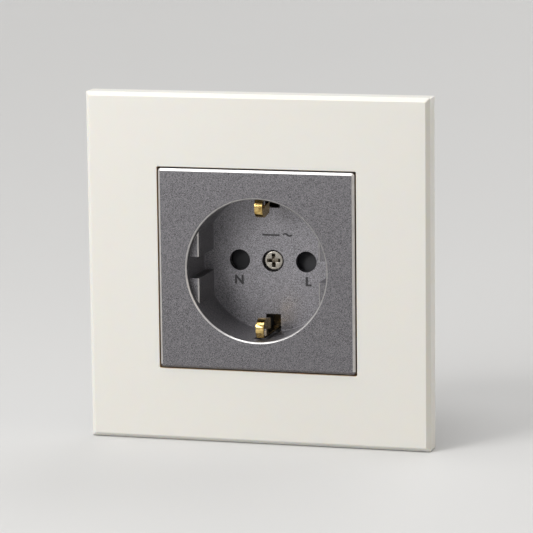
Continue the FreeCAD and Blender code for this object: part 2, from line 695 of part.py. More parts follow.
def contact_housing():
    """The moulded base: a cup for the recess, the slider's pocket and the chambers."""
    body = new_body("contact_housing")
    far = f"({terminal_flat} + sizes.housing_wall)"
    shoulder = f"({deck_level} - sizes.web_wall)"
    raise_front(body, housing_back, shoulder, octagon)
    raise_front(body, shoulder, "0", lambda sketch: circle(sketch, "0", "0", housing_outer))
    raise_front(body, "-sizes.ear_length", "0",
                lambda sketch: both_diagonals(sketch, f"({cup_inner} + sizes.housing_wall / 2)",
                                              ear_reach, "(sizes.ear_width / 2)"))
    cut_front(body, "0", deck_level, lambda sketch: circle(sketch, "0", "0", cup_inner))
    cut_front(body, "0", "-sizes.ear_length",
              lambda sketch: both_diagonals(sketch, f"({tab_radius} - sizes.tab_gap)",
                                            f"({tab_outer} + sizes.tab_gap)",
                                            "(sizes.tab_width / 2 + sizes.tab_gap)"))

    # Groove of the earth strip, and the pocket of the slider with its spring
    groove_half = "(sizes.arm_width / 2 + sizes.groove_gap)"
    groove_end = f"({leg_outer} + sizes.groove_gap)"
    cut_front(body, deck_level, strip_back,
              lambda sketch: rectangle(sketch, f"-{groove_half}", groove_half,
                                       f"-{groove_end}", groove_end))
    pad_in = f"({pin_x} - {pad_half} - sizes.slider_gap)"
    pad_out = f"({pin_x} + {pad_half} + sizes.slider_gap)"
    bridge_floor = f"({slider_front} - sizes.bridge_depth - sizes.slider_gap / 2)"
    cut_front(body, deck_level, bridge_floor,
              lambda sketch: rectangle(sketch, f"-{pad_out}", pad_out, f"-{pocket_end}",
                                       f"-({bridge_drop} - sizes.slider_gap)"))
    for sign in ("-", ""):
        sides = sorted((f"{sign}{pad_in}", f"{sign}{pad_out}"), key=value_of)
        cut_front(body, deck_level, pocket_floor,
                  lambda sketch: rectangle(sketch, *sides, f"-{pocket_end}",
                                           f"({pad_top} + sizes.slider_gap)"))
        cut_front(body, pocket_floor, web_back,
                  lambda sketch: rectangle(sketch, f"{sign}{pin_x} - {pin_hole_radius}",
                                           f"{sign}{pin_x} + {pin_hole_radius}",
                                           f"-{pin_hole_radius}", pin_hole_radius))

    # Trapped nut and the way for the end of the centre screw
    cut_front(body, strip_back, f"({strip_back} - sizes.nut_thickness)",
              lambda sketch: square(sketch, "(sizes.nut_width / 2 + sizes.nut_gap)"))
    cut_front(body, strip_back, f"({seat_level} - sizes.shank_length - sizes.pin_room)",
              lambda sketch: square(sketch, "(sizes.shank_radius + sizes.shank_gap)"))

    # Chambers of the contacts and the terminals, open to the rear
    fork_half = "(sizes.contact_width / 2 + sizes.contact_room)"
    fork_in = f"({pin_x} - {fork_reach} - sizes.contact_room)"
    screw_end = f"({tail_radius} - sizes.screw_room)"
    for turn in (0, 2):
        cut_rear(body, housing_back, web_back,
                 lambda sketch: terminal_turn(sketch, turn, fork_in, tail_radius, fork_half))
    for turn in range(3):
        cut_rear(body, housing_back, chamber_front,
                 lambda sketch: terminal_turn(sketch, turn, screw_end, far, chamber_half))

    # Way for the earth tail, from the groove into its chamber
    tail_back = f"({tail_radius} + sizes.earth_strip + sizes.groove_gap)"
    tail_side = "(sizes.tail_width / 2 + sizes.groove_gap)"
    cut_front(body, strip_back, chamber_front,
              lambda sketch: terminal_turn(sketch, 1, f"({tail_radius} - sizes.groove_gap)",
                                           tail_back, tail_side))
    cut_front(body, deck_level, strip_back,
              lambda sketch: terminal_turn(sketch, 1, f"({tail_radius} - sizes.arm_width / 2)",
                                           tail_back, tail_side))
    cut_rear(body, housing_back, f"({housing_back} + sizes.cover_screw_length)",
             lambda sketch: cover_screw_circles(sketch, "(sizes.cover_screw_radius + sizes.thread_gap)"))
    return body


def rear_cover():
    """The plate that closes the chambers, with a pair of wire entries at each terminal."""
    body = new_body("rear_cover")
    raise_front(body, cover_back, housing_back, octagon)

    def wire_entries(sketch):
        for sign in ("-", ""):
            beside = f"{sign}{wire_hole_spread}"
            circle(sketch, wire_radius, beside, "sizes.wire_hole_radius")
            circle(sketch, f"-{wire_radius}", beside, "sizes.wire_hole_radius")
            circle(sketch, beside, wire_radius, "sizes.wire_hole_radius")
        cover_screw_circles(sketch, "(sizes.cover_screw_radius + sizes.shank_gap)")

    cut_front(body, housing_back, cover_back, wire_entries)
    return body


def cover_screws():
    """Two small screws through the rear cover into the housing."""
    body = new_body("cover_screws")
    body.AllowCompound = True
    tip = f"({housing_back} + sizes.cover_screw_length - sizes.slot_depth)"
    raise_front(body, cover_back, tip, lambda sketch: cover_screw_circles(sketch, "sizes.cover_screw_radius"))
    head_back = f"({cover_back} - sizes.cover_head_height)"
    raise_front(body, head_back, cover_back,
                lambda sketch: cover_screw_circles(sketch, "sizes.cover_head_radius"))

    def driver_slots(sketch):
        reach = f"({cover_screw_circle} * sqrt(2) / 2)"
        arm = "sizes.slot_width / 2"
        for across, along in (("-", ""), ("", "-")):
            rectangle(sketch, f"{across}{reach} - sizes.cover_head_radius",
                      f"{across}{reach} + sizes.cover_head_radius",
                      f"{along}{reach} - {arm}", f"{along}{reach} + {arm}")

    cut_rear(body, head_back, f"({head_back} + sizes.cover_head_height / 2)", driver_slots)
    return body


def earth_bridge():
    """The folded earth strip: an arm behind the floor, two clips and the terminal's tail."""
    body = new_body("earth_bridge")
    arm = "(sizes.arm_width / 2)"
    passing = "(sizes.shank_radius + sizes.shank_gap)"
    tail_half = "(sizes.tail_width / 2)"
    neck = f"({tail_radius} - sizes.arm_width / 2 + sizes.groove_gap)"

    def blank(sketch):
        leg = "(sizes.leg_width / 2)"
        outline(sketch, [
            (f"-{leg}", f"-{leg_outer}"), (leg, f"-{leg_outer}"), (leg, f"-{clip_slot_inner}"),
            (arm, f"-({clip_slot_inner} - sizes.leg_width / 2)"), (arm, neck),
            (tail_half, neck), (tail_half, f"({tail_radius} + sizes.earth_strip)"),
            (leg, f"({tail_radius} + sizes.earth_strip)"), (leg, leg_outer), (f"-{leg}", leg_outer),
            (f"-{leg}", f"({tail_radius} + sizes.earth_strip)"),
            (f"-{tail_half}", f"({tail_radius} + sizes.earth_strip)"), (f"-{tail_half}", neck),
            (f"-{arm}", neck), (f"-{arm}", f"-({clip_slot_inner} - sizes.leg_width / 2)"),
            (f"-{leg}", f"-{clip_slot_inner}"),
        ])
        circle(sketch, "0", "0", passing)

    raise_front(body, strip_back, strip_front, blank)

    # Tail of the earth terminal: two legs beside the clip's strip, joined lower down
    def tail_legs(sketch):
        leg_in = "(sizes.leg_width / 2 + sizes.groove_gap)"
        back = tail_radius
        front = f"({tail_radius} + sizes.earth_strip)"
        rectangle(sketch, leg_in, tail_half, back, front)
        rectangle(sketch, f"-{tail_half}", f"-{leg_in}", back, front)

    raise_front(body, f"({tail_front} - sizes.earth_strip)", strip_front, tail_legs)
    raise_front(body, housing_back, tail_front,
                lambda sketch: terminal_turn(sketch, 1, tail_radius,
                                             f"({tail_radius} + sizes.earth_strip)", tail_half))
    hole = new_sketch(body, "XY_Plane", f"({tail_radius} + sizes.earth_strip)")
    circle(hole, "0", f"-{terminal_screw_level}", "(sizes.terminal_shank + sizes.thread_gap)")
    pocket(body, hole, "sizes.earth_strip")

    # Clips: an outer leg, a rounded nose and two folded flanges each
    nose_level = f"({face_level} - sizes.nose_setback)"
    heel_level = f"({face_level} - sizes.heel_setback)"
    bend_level = f"({nose_level} - sizes.nose_slope)"
    clip_half = "(sizes.clip_width / 2)"
    for sign in ("-", ""):
        def leg(sketch):
            half_leg = "(sizes.leg_width / 2)"
            sides = sorted((f"{sign}{leg_radius}", f"{sign}{leg_outer}"), key=value_of)
            rectangle(sketch, f"-{half_leg}", half_leg, *sides)

        raise_front(body, strip_back, f"({nose_level} - sizes.clip_width)", leg)

        # The strip as it turns over the nose and comes back
        def hairpin(sketch):
            strip = "sizes.earth_strip"
            outline(sketch, [(f"-({level})", f"{sign}({radius})") for level, radius in (
                (f"{nose_level} - sizes.clip_width - {strip}", leg_outer),
                (nose_level, leg_outer),
                (bend_level, nose_radius),
                (heel_level, heel_radius),
                (heel_level, f"{heel_radius} + {strip}"),
                (f"{bend_level} - sizes.nose_round", f"{nose_radius} + 2 * {strip}"),
                (f"{bend_level} - {strip}", f"{nose_radius} + sizes.nose_round"),
                (f"{nose_level} - {strip}", leg_radius),
                (f"{nose_level} - sizes.clip_width - {strip}", leg_radius),
            )])

        turned = raise_side(body, f"-{clip_half}", "sizes.clip_width", hairpin)
        for level, rounding in ((bend_level, "sizes.nose_round"), (nose_level, "sizes.nose_edge")):
            ends = edge_names(turned, lambda edge: near(edge.BoundBox.XLength, value_of("sizes.clip_width"))
                              and lies_at_level(edge, value_of(level))
                              and edge.BoundBox.Center.z * value_of(f"{sign}1") > 0)
            turned = dress(body, "Fillet", turned, ends, rounding)

        def flange(sketch):
            strip = "sizes.earth_strip"
            outline(sketch, [(f"-({level})", f"{sign}({radius})") for level, radius in (
                (f"{bend_level} - sizes.nose_round", f"{nose_radius} + {strip}"),
                (heel_level, f"{heel_radius} + {strip} / 2"),
                (heel_level, f"{heel_radius} + sizes.flange_width"),
                (f"{bend_level} - {strip}", f"{nose_radius} + sizes.flange_width"),
                (f"{bend_level} - {strip}", f"{nose_radius} + sizes.nose_round"),
            )])

        for start in (f"-{clip_half}", f"({clip_half} - sizes.earth_strip)"):
            raise_side(body, start, "sizes.earth_strip", flange)
    return body


def place_turned(body, turn):
    """Turn a sub-part made on the line side to its own place about the Y axis."""
    rotation = FreeCAD.Rotation(FreeCAD.Vector(0, 1, 0), -90 * turn)
    body.Placement = FreeCAD.Placement(FreeCAD.Vector(0, 0, 0), rotation)
    return body


def pin_contact(label, turn):
    """A contact for a plug's pin: a foot, two sprung legs and the terminal's tail."""
    body = new_body(label)
    strip = "sizes.contact_strip"
    width_half = "(sizes.contact_width / 2)"
    legs_top = f"({web_back} - sizes.mouth_gap)"
    grip_level = f"({legs_top} - sizes.grip_setback)"

    def legs(sketch):
        for sign in ("-", "+"):
            spots = (
                (f"({housing_back})", "sizes.pin_radius + sizes.foot_spread"),
                (grip_level, "sizes.pin_radius"),
                (legs_top, "sizes.pin_radius + sizes.mouth_spread"),
            )
            inner = [(f"{pin_x} {sign} ({spread})", f"-({level})") for level, spread in spots]
            outer = [(f"{pin_x} {sign} ({spread} + {strip})", f"-({level})") for level, spread in spots]
            outline(sketch, inner + outer[::-1])

    raise_up(body, f"-{width_half}", "sizes.contact_width", legs)
    foot_in = f"({pin_x} - sizes.pin_radius - sizes.foot_spread)"
    raise_front(body, housing_back, foot_front,
                lambda sketch: rectangle(sketch, foot_in, tail_outer, f"-{width_half}", width_half))
    raise_front(body, housing_back, tail_front,
                lambda sketch: terminal_turn(sketch, 0, tail_radius, tail_outer, "(sizes.tail_width / 2)"))
    hole = new_sketch(body, "YZ_Plane", tail_outer)
    circle(hole, f"-{terminal_screw_level}", "0", "(sizes.terminal_shank + sizes.thread_gap)")
    pocket(body, hole, strip)
    return place_turned(body, turn)


def grip_spring(label, turn):
    """A steel clip that presses the two legs of a contact together."""
    body = new_body(label)
    strip = "sizes.grip_strip"
    outer = "(sizes.pin_radius + sizes.foot_spread + sizes.contact_strip + sizes.grip_gap)"
    width_half = "(sizes.contact_width / 2 + sizes.grip_gap)"
    level = f"(({foot_front} + {web_back}) / 2)"
    around = f"({width_half} + {strip})"

    def ring(sketch):
        rectangle(sketch, f"{pin_x} - {outer} - {strip}", f"{pin_x} + {outer} + {strip}",
                  f"-{around}", around)
        rectangle(sketch, f"{pin_x} - {outer}", f"{pin_x} + {outer}", f"-{width_half}", width_half)

    raise_front(body, f"({level} - sizes.grip_height / 2)", f"({level} + sizes.grip_height / 2)", ring)
    return place_turned(body, turn)


def clamp_plate(label, turn):
    """The plate that presses the wires against a terminal's tail."""
    body = new_body(label)
    sketch = new_sketch(body, "YZ_Plane", clamp_inner)
    reach = "sizes.clamp_height / 2"
    rectangle(sketch, f"-{terminal_screw_level} - {reach}", f"-{terminal_screw_level} + {reach}",
              "-sizes.clamp_width / 2", "sizes.clamp_width / 2")
    circle(sketch, f"-{terminal_screw_level}", "0", "(sizes.terminal_shank + sizes.shank_gap)")
    plate = pad(body, sketch, "sizes.clamp_wall")
    ends = edge_names(plate, lambda edge: near(edge.BoundBox.YLength, value_of("sizes.clamp_height"))
                      and near(edge.BoundBox.XMax, value_of(clamp_outer)))
    dress(body, "Chamfer", plate, ends, "sizes.slot_width / 2")
    return place_turned(body, turn)


def terminal_screw(label, turn):
    """A slotted screw that reaches through the clamp plate into the tail."""
    body = new_body(label)
    shank_start = f"({tail_radius} - sizes.screw_past_tail)"
    for start, end, radius in (
        (shank_start, clamp_outer, "sizes.terminal_shank"),
        (clamp_outer, f"({clamp_outer} + sizes.terminal_head_height)", "sizes.terminal_head"),
    ):
        sketch = new_sketch(body, "YZ_Plane", start)
        circle(sketch, f"-{terminal_screw_level}", "0", radius)
        pad(body, sketch, f"{end} - {start}")
    top = new_sketch(body, "YZ_Plane", f"({clamp_outer} + sizes.terminal_head_height)")
    rectangle(top, f"-{terminal_screw_level} - sizes.slot_width / 2",
              f"-{terminal_screw_level} + sizes.slot_width / 2",
              "-sizes.terminal_head", "sizes.terminal_head")
    pocket(body, top, "sizes.slot_depth")
    return place_turned(body, turn)


def shutter():
    """The slider: two ramped pads behind the pin holes, on a bridge below them."""
    body = new_body("shutter")
    # The ramp falls back towards the top, so that a pin pushes the slider down
    def ramp(sketch):
        outline(sketch, [
            (f"-{slider_back}", f"-{bridge_foot}"),
            (f"-{slider_back}", pad_top),
            (f"-({slider_front} - sizes.ramp_top)", pad_top),
            (f"-{slider_front}", f"-{pad_top}"),
            (f"-{slider_front}", f"-{bridge_foot}"),
        ])

    for sign in ("-", ""):
        raise_side(body, f"{sign}{pin_x} - {pad_half}", f"2 * {pad_half}", ramp)
    raise_front(body, f"({slider_front} - sizes.bridge_depth)", slider_front,
                lambda sketch: rectangle(sketch, f"-{pin_x}", pin_x, f"-{bridge_foot}", f"-{bridge_drop}"))
    return body


def shutter_spring():
    """The bow spring that lifts the slider: a bent strip with a flat crown and two feet."""
    body = new_body("shutter_spring")
    strip = "sizes.spring_strip"
    low = f"(-{pocket_end})"
    high = f"({low} + {slider_travel} + sizes.slider_gap - {strip})"
    crown = "(sizes.spring_crown / 2)"
    foot = "(sizes.spring_span / 2)"
    heel = f"({foot} - sizes.spring_foot)"

    # Lower side from left to right, then back along the upper side
    def bow(sketch):
        lower = [(f"-{foot}", low), (f"-{heel}", low), (f"-{crown}", high),
                 (crown, high), (heel, low), (foot, low)]
        upper = [(across, f"{along} + {strip}") for across, along in lower]
        outline(sketch, lower + upper[::-1])

    raise_front(body, f"({slider_front} - sizes.spring_width)", slider_front, bow)
    return body


sub_parts = [
    cover_frame(),
    centre_plate(),
    centre_screw(),
    screw_nut(),
    mounting_plate(),
    contact_housing(),
    rear_cover(),
    cover_screws(),
    earth_bridge(),
    shutter(),
    shutter_spring(),
]
for name, quarter in (("line", 0), ("neutral", 2)):
    sub_parts.append(pin_contact(f"{name}_contact", quarter))
    sub_parts.append(grip_spring(f"{name}_grip_spring", quarter))
for name, quarter in (("line", 0), ("earth", 1), ("neutral", 2)):
    sub_parts.append(clamp_plate(f"{name}_clamp_plate", quarter))
    sub_parts.append(terminal_screw(f"{name}_terminal_screw", quarter))

doc.recompute()
for item in doc.Objects:
    if "Invalid" in item.State or "Error" in item.State:
        raise RuntimeError(f"{item.Name} failed: {item.State}")
os.makedirs("parts", exist_ok=True)
for part in sub_parts:
    if part.Shape.isNull() or not part.Shape.isValid():
        raise RuntimeError(f"{part.Label} has no valid shape")
    part.Shape.exportStep(f"parts/{part.Label}.step")
    print(part.Label, len(part.Shape.Solids), "solid", round(part.Shape.Volume, 1), "mm3")
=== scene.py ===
import math
import bmesh
import bpy
from mathutils import Matrix, Vector


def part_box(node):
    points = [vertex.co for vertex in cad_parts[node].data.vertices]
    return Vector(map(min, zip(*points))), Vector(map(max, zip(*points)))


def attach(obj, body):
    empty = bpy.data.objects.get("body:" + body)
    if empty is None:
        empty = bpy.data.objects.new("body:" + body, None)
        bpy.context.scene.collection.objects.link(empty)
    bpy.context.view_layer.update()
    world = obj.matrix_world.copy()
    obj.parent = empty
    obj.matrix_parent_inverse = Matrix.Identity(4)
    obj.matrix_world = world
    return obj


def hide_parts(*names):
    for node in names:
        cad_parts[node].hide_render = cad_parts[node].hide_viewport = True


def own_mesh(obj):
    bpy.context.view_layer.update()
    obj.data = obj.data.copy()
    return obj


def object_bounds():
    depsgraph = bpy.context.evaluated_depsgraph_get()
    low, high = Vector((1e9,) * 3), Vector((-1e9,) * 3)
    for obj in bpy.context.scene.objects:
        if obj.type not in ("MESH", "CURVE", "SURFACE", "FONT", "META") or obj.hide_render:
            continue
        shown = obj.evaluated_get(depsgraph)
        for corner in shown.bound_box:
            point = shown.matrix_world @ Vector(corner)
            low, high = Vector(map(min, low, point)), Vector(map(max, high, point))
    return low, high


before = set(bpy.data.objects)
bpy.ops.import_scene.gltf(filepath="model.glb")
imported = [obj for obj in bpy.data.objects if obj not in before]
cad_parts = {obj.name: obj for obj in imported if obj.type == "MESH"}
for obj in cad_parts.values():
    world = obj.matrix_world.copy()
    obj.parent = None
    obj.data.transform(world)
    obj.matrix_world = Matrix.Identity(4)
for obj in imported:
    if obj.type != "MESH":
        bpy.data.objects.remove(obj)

# Wall socket with a round plug recess. The scene is in metres, the sizes of pieces in millimetres.
# X to the right, Z up, +Y into the wall, the wall face at Y = 0.
mm = 0.001
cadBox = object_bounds()
scene = bpy.context.scene
weld = 0.002 * mm  # points nearer than this are one point
sliver = 0.0008 * mm  # edges shorter than this are dropped
flatAngle = 0.5  # degrees under which two CAD triangles lie in one face
toFront = Matrix.Rotation(math.radians(90), 4, "X")  # a shape drawn facing +Z then faces -Y
toSide = Matrix.Rotation(math.radians(90), 4, "Y")  # and here +X
print("frame loaded with", len(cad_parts), "nodes")


# meshes
def linkObject(name, shape):
    piece = bpy.data.objects.new(name, shape)
    scene.collection.objects.link(piece)
    return piece


def bakeModifiers(piece):
    bpy.context.view_layer.update()
    graph = bpy.context.evaluated_depsgraph_get()
    mesh = bpy.data.meshes.new_from_object(piece.evaluated_get(graph), depsgraph=graph)
    piece.modifiers.clear()
    piece.data = mesh
    return piece


def editMesh(mesh, change):
    work = bmesh.new()
    work.from_mesh(mesh)
    change(work)
    work.to_mesh(mesh)
    work.free()
    return mesh


def outward(mesh):
    def change(work):
        bmesh.ops.remove_doubles(work, verts=work.verts, dist=weld)
        bmesh.ops.recalc_face_normals(work, faces=work.faces)
    return editMesh(mesh, change)


def meshFrom(name, points, faces):
    mesh = bpy.data.meshes.new(name)
    mesh.from_pydata([tuple(point) for point in points], [], faces)
    return outward(mesh)


def evenNormals(piece):
    weights = piece.modifiers.new("evenNormals", "WEIGHTED_NORMAL")
    weights.weight = 80
    weights.keep_sharp = True


def dropSlivers(work):
    bmesh.ops.remove_doubles(work, verts=work.verts, dist=sliver)
    bmesh.ops.dissolve_degenerate(work, edges=work.edges, dist=sliver)


def softenEdges(piece, width, limit=30):
    for face in piece.data.polygons:
        face.use_smooth = True
    bevel = piece.modifiers.new("softEdges", "BEVEL")
    bevel.width = width * mm
    bevel.segments = 2
    bevel.limit_method = "ANGLE"
    bevel.angle_limit = math.radians(limit)
    bakeModifiers(piece)
    editMesh(piece.data, dropSlivers)
    evenNormals(piece)
    return bakeModifiers(piece)


def softenedCopy(node, name, width, reshape=None):
    # the CAD triangles merged into whole faces, with small rounded edges
    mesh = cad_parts[node].data.copy()

    def change(work):
        bmesh.ops.remove_doubles(work, verts=work.verts, dist=weld)
        bmesh.ops.dissolve_limit(work, angle_limit=math.radians(flatAngle),
                                 verts=work.verts, edges=work.edges)
        if reshape:
            reshape(work)

    piece = linkObject(name, editMesh(mesh, change))
    return softenEdges(piece, width)


def joinMeshes(name, meshes):
    work = bmesh.new()
    for mesh in meshes:
        work.from_mesh(mesh)
    joined = bpy.data.meshes.new(name)
    work.to_mesh(joined)
    work.free()
    return joined


def finishPiece(piece, material, node=None, body="socket"):
    piece.data.materials.clear()
    piece.data.materials.append(material)
    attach(piece, body)
    if node:
        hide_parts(node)


# geometry node trees for what repeats or winds
def startTree(name, sizes):
    tree = bpy.data.node_groups.new(name, "GeometryNodeTree")
    tree.interface.new_socket(name="Geometry", in_out="INPUT", socket_type="NodeSocketGeometry")
    for label, value in sizes.items():
        kind = "NodeSocketInt" if isinstance(value, int) else "NodeSocketFloat"
        socket = tree.interface.new_socket(name=label, in_out="INPUT", socket_type=kind)
        socket.default_value = value
    tree.interface.new_socket(name="Material", in_out="INPUT", socket_type="NodeSocketMaterial")
    tree.interface.new_socket(name="Geometry", in_out="OUTPUT", socket_type="NodeSocketGeometry")
    return tree, tree.nodes.new("NodeGroupInput").outputs


def addNode(tree, kind, inputs=None, **settings):
    node = tree.nodes.new(kind)
    for key, value in settings.items():
        setattr(node, key, value)
    for socket, value in (inputs or {}).items():
        if isinstance(value, bpy.types.NodeSocket):
            tree.links.new(value, node.inputs[socket])
        else:
            node.inputs[socket].default_value = value
    return node.outputs


def calculate(tree, operation, first, second):
    return addNode(tree, "ShaderNodeMath", {0: first, 1: second}, operation=operation)[0]


def vectorOf(tree, x=0.0, y=0.0, z=0.0):
    return addNode(tree, "ShaderNodeCombineXYZ", {0: x, 1: y, 2: z})[0]


def endTree(tree, given, geometry):
    whole = addNode(tree, "GeometryNodeRealizeInstances", {0: geometry})[0]
    painted = addNode(tree, "GeometryNodeSetMaterial", {
        "Geometry": whole, "Material": given["Material"]})[0]
    addNode(tree, "NodeGroupOutput", {0: painted})
    return tree


def growMesh(name, tree, sizes, material, base=None):
    holder = linkObject(name, base or bpy.data.meshes.new(name))
    modifier = holder.modifiers.new(name, "NODES")
    modifier.node_group = tree
    for item in tree.interface.items_tree:
        if item.in_out == "INPUT" and item.name in sizes:
            modifier[item.identifier] = sizes[item.name]
        if item.in_out == "INPUT" and item.name == "Material":
            modifier[item.identifier] = material
    bakeModifiers(holder)
    mesh = holder.data
    bpy.data.objects.remove(holder)
    return outward(mesh)


def buildThreadTree():
    # a ridge wound round the Z axis, from z = 0 upwards
    tree, given = startTree("threadRidge", {
        "Radius": 1.0, "Pitch": 0.5, "Length": 5.0, "Ridge": 0.1, "Steps": 24})
    turns = calculate(tree, "DIVIDE", given["Length"], given["Pitch"])
    helix = addNode(tree, "GeometryNodeCurveSpiral", {
        "Resolution": given["Steps"], "Rotations": turns, "Start Radius": given["Radius"],
        "End Radius": given["Radius"], "Height": given["Length"]})[0]
    section = addNode(tree, "GeometryNodeCurvePrimitiveCircle", {
        "Resolution": 4, "Radius": given["Ridge"]})[0]
    ridge = addNode(tree, "GeometryNodeCurveToMesh", {
        "Curve": helix, "Profile Curve": section, "Fill Caps": True})[0]
    return endTree(tree, given, ridge)


def buildBarTree():
    # equal bars side by side, and the row turned about Z as often as asked
    tree, given = startTree("barRow", {
        "Count": 2, "Spacing": 1.0, "Length": 5.0, "Width": 1.0, "Height": 1.0,
        "Reach": 0.0, "Turns": 1})
    size = vectorOf(tree, given["Length"], given["Width"], given["Height"])
    bar = addNode(tree, "GeometryNodeMeshCube", {"Size": size})[0]
    gaps = calculate(tree, "SUBTRACT", given["Count"], 1.0)
    start = calculate(tree, "MULTIPLY", calculate(tree, "MULTIPLY", gaps, given["Spacing"]), -0.5)
    row = addNode(tree, "GeometryNodeMeshLine", {
        "Count": given["Count"], "Start Location": vectorOf(tree, given["Reach"], start),
        "Offset": vectorOf(tree, 0.0, given["Spacing"])})[0]
    bars = addNode(tree, "GeometryNodeInstanceOnPoints", {"Points": row, "Instance": bar})[0]
    bars = addNode(tree, "GeometryNodeRealizeInstances", {0: bars})[0]
    middle = addNode(tree, "GeometryNodeMeshLine", {
        "Count": given["Turns"], "Offset": (0.0, 0.0, 0.0)})[0]
    number = addNode(tree, "GeometryNodeInputIndex")[0]
    angle = calculate(tree, "MULTIPLY", number, math.pi / 2)
    turned = addNode(tree, "GeometryNodeInstanceOnPoints", {
        "Points": middle, "Instance": bars, "Rotation": vectorOf(tree, 0.0, 0.0, angle)})[0]
    return endTree(tree, given, turned)


def buildCollarTree():
    # a rounded collar on each point of the given mesh
    tree, given = startTree("holeCollars", {"Radius": 1.5, "Thickness": 0.2, "Steps": 48})
    ring = addNode(tree, "GeometryNodeCurvePrimitiveCircle", {
        "Resolution": given["Steps"], "Radius": given["Radius"]})[0]
    section = addNode(tree, "GeometryNodeCurvePrimitiveCircle", {
        "Resolution": 10, "Radius": given["Thickness"]})[0]
    collar = addNode(tree, "GeometryNodeCurveToMesh", {"Curve": ring, "Profile Curve": section})[0]
    collars = addNode(tree, "GeometryNodeInstanceOnPoints", {
        "Points": given["Geometry"], "Instance": collar})[0]
    return endTree(tree, given, collars)


threadTree = buildThreadTree()
barTree = buildBarTree()
collarTree = buildCollarTree()
print("node trees built")


# materials
def newMaterial(name, values):
    material = bpy.data.materials.new(name)
    material.use_nodes = True
    tree = material.node_tree
    shader = tree.nodes["Principled BSDF"]
    for socket, value in values.items():
        shader.inputs[socket].default_value = value
    place = addNode(tree, "ShaderNodeTexCoord")["Object"]
    return material, tree, shader, place


def noiseOf(tree, place, scale, detail=3.0, stretch=None):
    if stretch:
        place = addNode(tree, "ShaderNodeMapping", {"Vector": place, "Scale": stretch})[0]
    return addNode(tree, "ShaderNodeTexNoise", {
        "Vector": place, "Scale": scale, "Detail": detail})[0]


def blendColours(tree, factor, first, second):
    # a colour is three numbers or the output of another node
    mix = tree.nodes.new("ShaderNodeMix")
    mix.data_type = "RGBA"
    tree.links.new(factor, mix.inputs[0])
    for socket, colour in ((mix.inputs[6], first), (mix.inputs[7], second)):
        if isinstance(colour, tuple):
            socket.default_value = (*colour, 1)
        else:
            tree.links.new(colour, socket)
    return mix.outputs[2]


def ranged(tree, value, low, high, fromLow=0.3, fromHigh=0.7):
    return addNode(tree, "ShaderNodeMapRange", {
        "Value": value, "From Min": fromLow, "From Max": fromHigh,
        "To Min": low, "To Max": high})[0]


def bumpFrom(tree, height, strength, distance, normal=None):
    inputs = {"Height": height, "Strength": strength, "Distance": distance * mm}
    if normal:
        inputs["Normal"] = normal
    return addNode(tree, "ShaderNodeBump", inputs)[0]


def blendByDepth(tree, place, reach, near, far):
    # near the front one colour, towards the wall the other
    depth = addNode(tree, "ShaderNodeSeparateXYZ", {0: place})["Y"]
    share = ranged(tree, depth, 0.0, 1.0, reach[0] * mm, reach[1] * mm)
    return blendColours(tree, share, near, far)


def plasticMaterial(name, look):
    # moulded plastic: slow colour drift, uneven gloss and a fine grain
    material, tree, shader, place = newMaterial(name, {
        "IOR": look["ior"], "Specular IOR Level": look["specular"]})
    if "through" in look:
        # light enters thin pale mouldings and comes out warmer
        shader.inputs["Subsurface Weight"].default_value = look["through"]
        shader.inputs["Subsurface Scale"].default_value = look["throughDepth"]
        shader.inputs["Subsurface Radius"].default_value = look["throughColour"]
    drift = noiseOf(tree, place, look["driftScale"], 2.0)
    colour = blendColours(tree, drift, look["dark"], look["light"])
    tree.links.new(colour, shader.inputs["Base Color"])
    gloss = noiseOf(tree, place, look["glossScale"], 4.0)
    tree.links.new(ranged(tree, gloss, *look["roughness"]), shader.inputs["Roughness"])
    grain = noiseOf(tree, place, look["grainScale"], 3.0)
    relief = bumpFrom(tree, grain, look["grain"], look["grainDepth"])
    tree.links.new(relief, shader.inputs["Normal"])
    return material


def flakeMaterial(name, look):
    # silver lacquer: small flakes that differ in brightness and tilt; deeper in the recess the
    # floor takes its own colours, painted light that makes the floor lighter
    material, tree, shader, place = newMaterial(name, {
        "Metallic": look["metallic"], "Coat Weight": look["coat"],
        "Coat Roughness": look["coatRoughness"]})
    flakes = addNode(tree, "ShaderNodeTexVoronoi", {"Vector": place, "Scale": look["flakeScale"]})
    spark = addNode(tree, "ShaderNodeSeparateColor", {0: flakes["Color"]})
    fine = noiseOf(tree, place, look["fineScale"], 2.0)
    shine = calculate(tree, "ADD", calculate(tree, "MULTIPLY", spark[0], look["flakeShare"]),
                      calculate(tree, "MULTIPLY", fine, 1 - look["flakeShare"]))
    share = ranged(tree, shine, 0.0, 1.0, *look["shineRange"])
    outside = blendColours(tree, share, look["dark"], look["light"])
    # painted light: deeper in the recess the floor takes its own, lighter colours
    floorShading = blendColours(tree, share, look["floorShadingDark"], look["floorShadingLight"])
    colour = blendByDepth(tree, place, look["floorShadingReach"], outside, floorShading)
    tree.links.new(colour, shader.inputs["Base Color"])
    tree.links.new(ranged(tree, spark[1], *look["roughness"], 0.0, 1.0), shader.inputs["Roughness"])
    tilt = bumpFrom(tree, spark[2], look["tilt"], look["tiltDepth"])
    relief = bumpFrom(tree, fine, look["grain"], look["grainDepth"], tilt)
    tree.links.new(relief, shader.inputs["Normal"])
    return material


def metalMaterial(name, look):
    # plated or bright strip metal: faint drawing lines, clouded gloss
    material, tree, shader, place = newMaterial(name, {"Metallic": look.get("metallic", 1.0)})
    cloud = noiseOf(tree, place, look["cloudScale"], 4.0)
    colour = blendColours(tree, ranged(tree, cloud, 0.0, 1.0), look["dark"], look["light"])
    if "paintedShade" in look:
        # painted shade: darker towards the wall, in the cross and rim of the screw head and on the
        # strip behind the clip slots
        colour = blendByDepth(tree, place, look["paintedShadeReach"], colour, look["paintedShade"])
    tree.links.new(colour, shader.inputs["Base Color"])
    lines = noiseOf(tree, place, look["lineScale"], 3.0, look["stretch"])
    tree.links.new(ranged(tree, lines, *look["roughness"]), shader.inputs["Roughness"])
    tree.links.new(bumpFrom(tree, lines, look["lines"], look["lineDepth"]), shader.inputs["Normal"])
    return material


